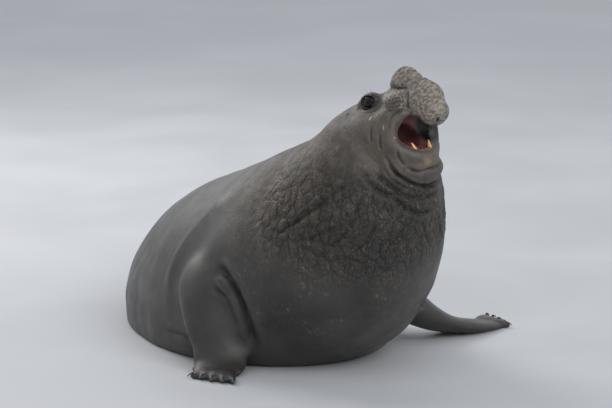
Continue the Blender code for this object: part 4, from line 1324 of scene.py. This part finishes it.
def hide_finish():
    """Short wet hair over dark grey-brown skin: browner on the neck with tan flecks, grey on
    the nose, tan on the chin and dark red in the mouth. Shade is painted in near black in the
    creases, cracks, wrinkles and pits, and over the dark pigment inside the far cheek."""
    material, tree, shader = blank("wet_hide")
    where = add(tree, "ShaderNodeTexCoord", {}).outputs["Object"]
    crease, rough, mouth = (value_of(tree, name) for name in ("crease", "rough", "mouth"))
    brown, nose, lid = (value_of(tree, name) for name in ("brown", "nose", "lid"))
    face, flecked = (value_of(tree, name) for name in ("face", "flecked"))
    cloud = grain(tree, where, 3.0, 5.0)
    mottle = grain(tree, where, 22.0, 6.0, 0.6)
    colour = mixed(tree, step(tree, cloud, 0.35, 0.65), HIDE_DARK, HIDE_GREY)
    tint = mixed(tree, step(tree, mottle, 0.35, 0.70), NECK_DARK, NECK_BROWN)
    colour = mixed(tree, brown, colour, tint)
    colour = mixed(tree, face, colour, mixed(tree, mottle, FACE_DARK, FACE_BROWN))
    flecks = step(tree, grain(tree, in_head(tree, (1.0, 1.0, 0.45)), 58.0, 4.0, 1.2), 0.54, 0.72)
    patches = step(tree, grain(tree, where, 6.0, 3.0), 0.38, 0.58)
    flecks = maths(tree, "MULTIPLY", maths(tree, "MULTIPLY", flecks, patches), 0.50)
    amount = maths(tree, "MAXIMUM", maths(tree, "MAXIMUM", brown, flecked), 0.08)
    colour = mixed(tree, maths(tree, "MULTIPLY", flecks, amount), colour, FLECK_TAN)
    streaks = grain(tree, in_head(tree, (1.0, 0.30, 1.0)), 85.0, 5.0, 0.4)
    nose_tint = mixed(tree, step(tree, streaks, 0.38, 0.62), NOSE_DARK, NOSE_GREY)
    band = maths(tree, "MULTIPLY", value_of(tree, "band"), 0.6)
    nose_tint = mixed(tree, band, nose_tint, NOSE_BLUE)
    colour = mixed(tree, nose, colour, nose_tint)
    tan = maths(tree, "MULTIPLY", value_of(tree, "tan"), step(tree, mottle, 0.30, 0.60))
    colour = mixed(tree, tan, colour, CHIN_TAN)
    colour = mixed(tree, value_of(tree, "scar"), colour, SCAR_PINK)
    # painted shade: near black deep in the creases, cracks, wrinkles and pits
    deep = maths(tree, "MULTIPLY", maths(tree, "POWER", crease, 1.8), 0.85)
    colour = mixed(tree, deep, colour, CREASE_SHADE)
    colour = mixed(tree, value_of(tree, "lip"), colour, mixed(tree, mottle, LIP_DARK, LIP_OLIVE))
    colour = mixed(tree, mouth, colour, mixed(tree, cloud, MOUTH_DEEP, MOUTH_RED))
    # painted shade over dark pigment inside the far cheek
    colour = mixed(tree, value_of(tree, "far_cheek_shade"), colour, CHEEK_SHADE)
    colour = mixed(tree, lid, colour, LID_BLACK)
    tree.links.new(colour, shader.inputs["Base Color"])
    gloss = step(tree, grain(tree, where, 9.0, 4.0), 0.3, 0.7, 0.34, 0.50)
    dry = maths(tree, "MAXIMUM", maths(tree, "MAXIMUM", rough, brown), nose)
    dull = maths(tree, "MULTIPLY", dry, 0.16)
    wet = maths(tree, "MULTIPLY", maths(tree, "MAXIMUM", mouth, lid), 0.30)
    roughness = maths(tree, "SUBTRACT", maths(tree, "ADD", gloss, dull), wet)
    tree.links.new(roughness, shader.inputs["Roughness"])
    taller = add(tree, "ShaderNodeVectorMath", {0: where, 1: (1, 1, 0.7)}, operation="MULTIPLY")
    plates = step(tree, cracks(tree, taller.outputs[0], 62.0), 0.0, 0.16)
    plated = maths(tree, "MAXIMUM", rough, maths(tree, "MULTIPLY", brown, 0.35))
    plates = maths(tree, "MULTIPLY", plates, plated)
    pebbles = step(tree, cracks(tree, where, 150.0), 0.0, 0.22)
    hairs = grain(tree, where, 420.0, 2.0)
    wrinkles = maths(tree, "MULTIPLY", streaks, nose)
    bumped(tree, shader, (
        (plates, 0.9, 0.0035), (pebbles, 0.45, 0.0010), (wrinkles, 0.9, 0.0060), (hairs, 0.35, 0.0012),
    ))
    return material


def eye_finish():
    """A glossy dark eye: black pupil, deep brown iris with rays, and a darker white."""
    material, tree, shader = blank("wet_eye")
    where = add(tree, "ShaderNodeTexCoord", {}).outputs["Object"]
    reach = value_of(tree, "from_gaze")
    rays = grain(tree, where, 260.0, 3.0)
    colour = mixed(tree, step(tree, rays, 0.3, 0.7), (0.006, 0.004, 0.003), (0.016, 0.009, 0.005))
    colour = mixed(tree, step(tree, reach, 0.34, 0.30), colour, (0.002, 0.002, 0.002))
    colour = mixed(tree, step(tree, reach, 0.66, 0.74), colour, (0.004, 0.004, 0.004))
    tree.links.new(colour, shader.inputs["Base Color"])
    shader.inputs["Roughness"].default_value = 0.06
    shader.inputs["IOR"].default_value = 1.34
    return material


def mottled(name):
    """A finish that goes from one colour to another along the piece, clouded by noise and
    pressed with it. Without a mark it goes by the noise alone."""
    marked_by, low, high, dark, pale, scale, roughness, depth = FINISHES[name]
    material, tree, shader = blank(name)
    where = add(tree, "ShaderNodeTexCoord", {}).outputs["Object"]
    cloud = grain(tree, where, scale, 4.0, 0.5)
    share = step(tree, cloud, 0.3, 0.7)
    if marked_by:
        along = step(tree, value_of(tree, marked_by), low, high)
        along = maths(tree, "MULTIPLY", along, 0.8)
        share = maths(tree, "ADD", along, maths(tree, "MULTIPLY", share, 0.2))
    tree.links.new(mixed(tree, share, dark, pale), shader.inputs["Base Color"])
    gloss = step(tree, cloud, 0.3, 0.7, roughness * 0.8, roughness * 1.2)
    tree.links.new(gloss, shader.inputs["Roughness"])
    bumped(tree, shader, ((grain(tree, where, scale * 3, 3.0), 0.5, depth),))
    return material


def studio():
    """A pale floor, two soft lights and a pale sky, and the camera of the photograph."""
    scene = bpy.context.scene
    mesh = bpy.data.meshes.new("floor")
    mesh.from_pydata(FLOOR, [], [[0, 1, 2, 3]])
    floor = bpy.data.objects.new("floor", mesh)
    scene.collection.objects.link(floor)
    mesh.materials.append(mottled("floor_paint"))
    world = bpy.data.worlds.new("studio")
    world.use_nodes = True
    sky = world.node_tree.nodes["Background"].inputs
    sky["Color"].default_value = SKY
    sky["Strength"].default_value = SKY_STRENGTH
    scene.world = world
    for name, at, size, power, colour in LIGHTS:
        light = bpy.data.lights.new(name, "AREA")
        light.size = size
        light.energy = power
        light.color = colour
        lamp = bpy.data.objects.new(name, light)
        lamp.location = at
        lamp.rotation_euler = (Vector((0, 0, 0.8)) - Vector(at)).to_track_quat("-Z", "Y").to_euler()
        scene.collection.objects.link(lamp)
    camera = bpy.data.cameras.new("camera")
    camera.sensor_width = 36.0
    camera.lens = 36.0 * VIEW_DISTANCE * PIXELS_PER_METRE / 612
    viewer = bpy.data.objects.new("camera", camera)
    back = Vector((0, -math.cos(VIEW_RISE), math.sin(VIEW_RISE)))
    viewer.location = Vector((OFFSET[0], OFFSET[1], VIEW_HEIGHT)) + back * VIEW_DISTANCE
    viewer.rotation_euler = (-back).to_track_quat("-Z", "Y").to_euler()
    scene.collection.objects.link(viewer)
    scene.camera = viewer
    scene.view_settings.view_transform = "Standard"


hide = linked(made_hide(), hide_finish(), FLESH)
for side, name in ((1, "left"), (-1, "right")):
    linked(eyeball("eyeball_" + name, side), eye_finish(), ["eye_" + name])
    linked(lid_rim("lids_" + name, side), mottled("lid_skin"), ())
linked(tongue(), mottled("tongue_flesh"), ["tongue"])
linked(gum(), mottled("gum_flesh"), ())
linked(teeth(), mottled("ivory"), ())
linked(claws(), mottled("horn"), ())
hairs, beds = whiskers(hide)
linked(hairs, mottled("whisker_hair"), ())
linked(beds, mottled("whisker_bed"), ())
studio()
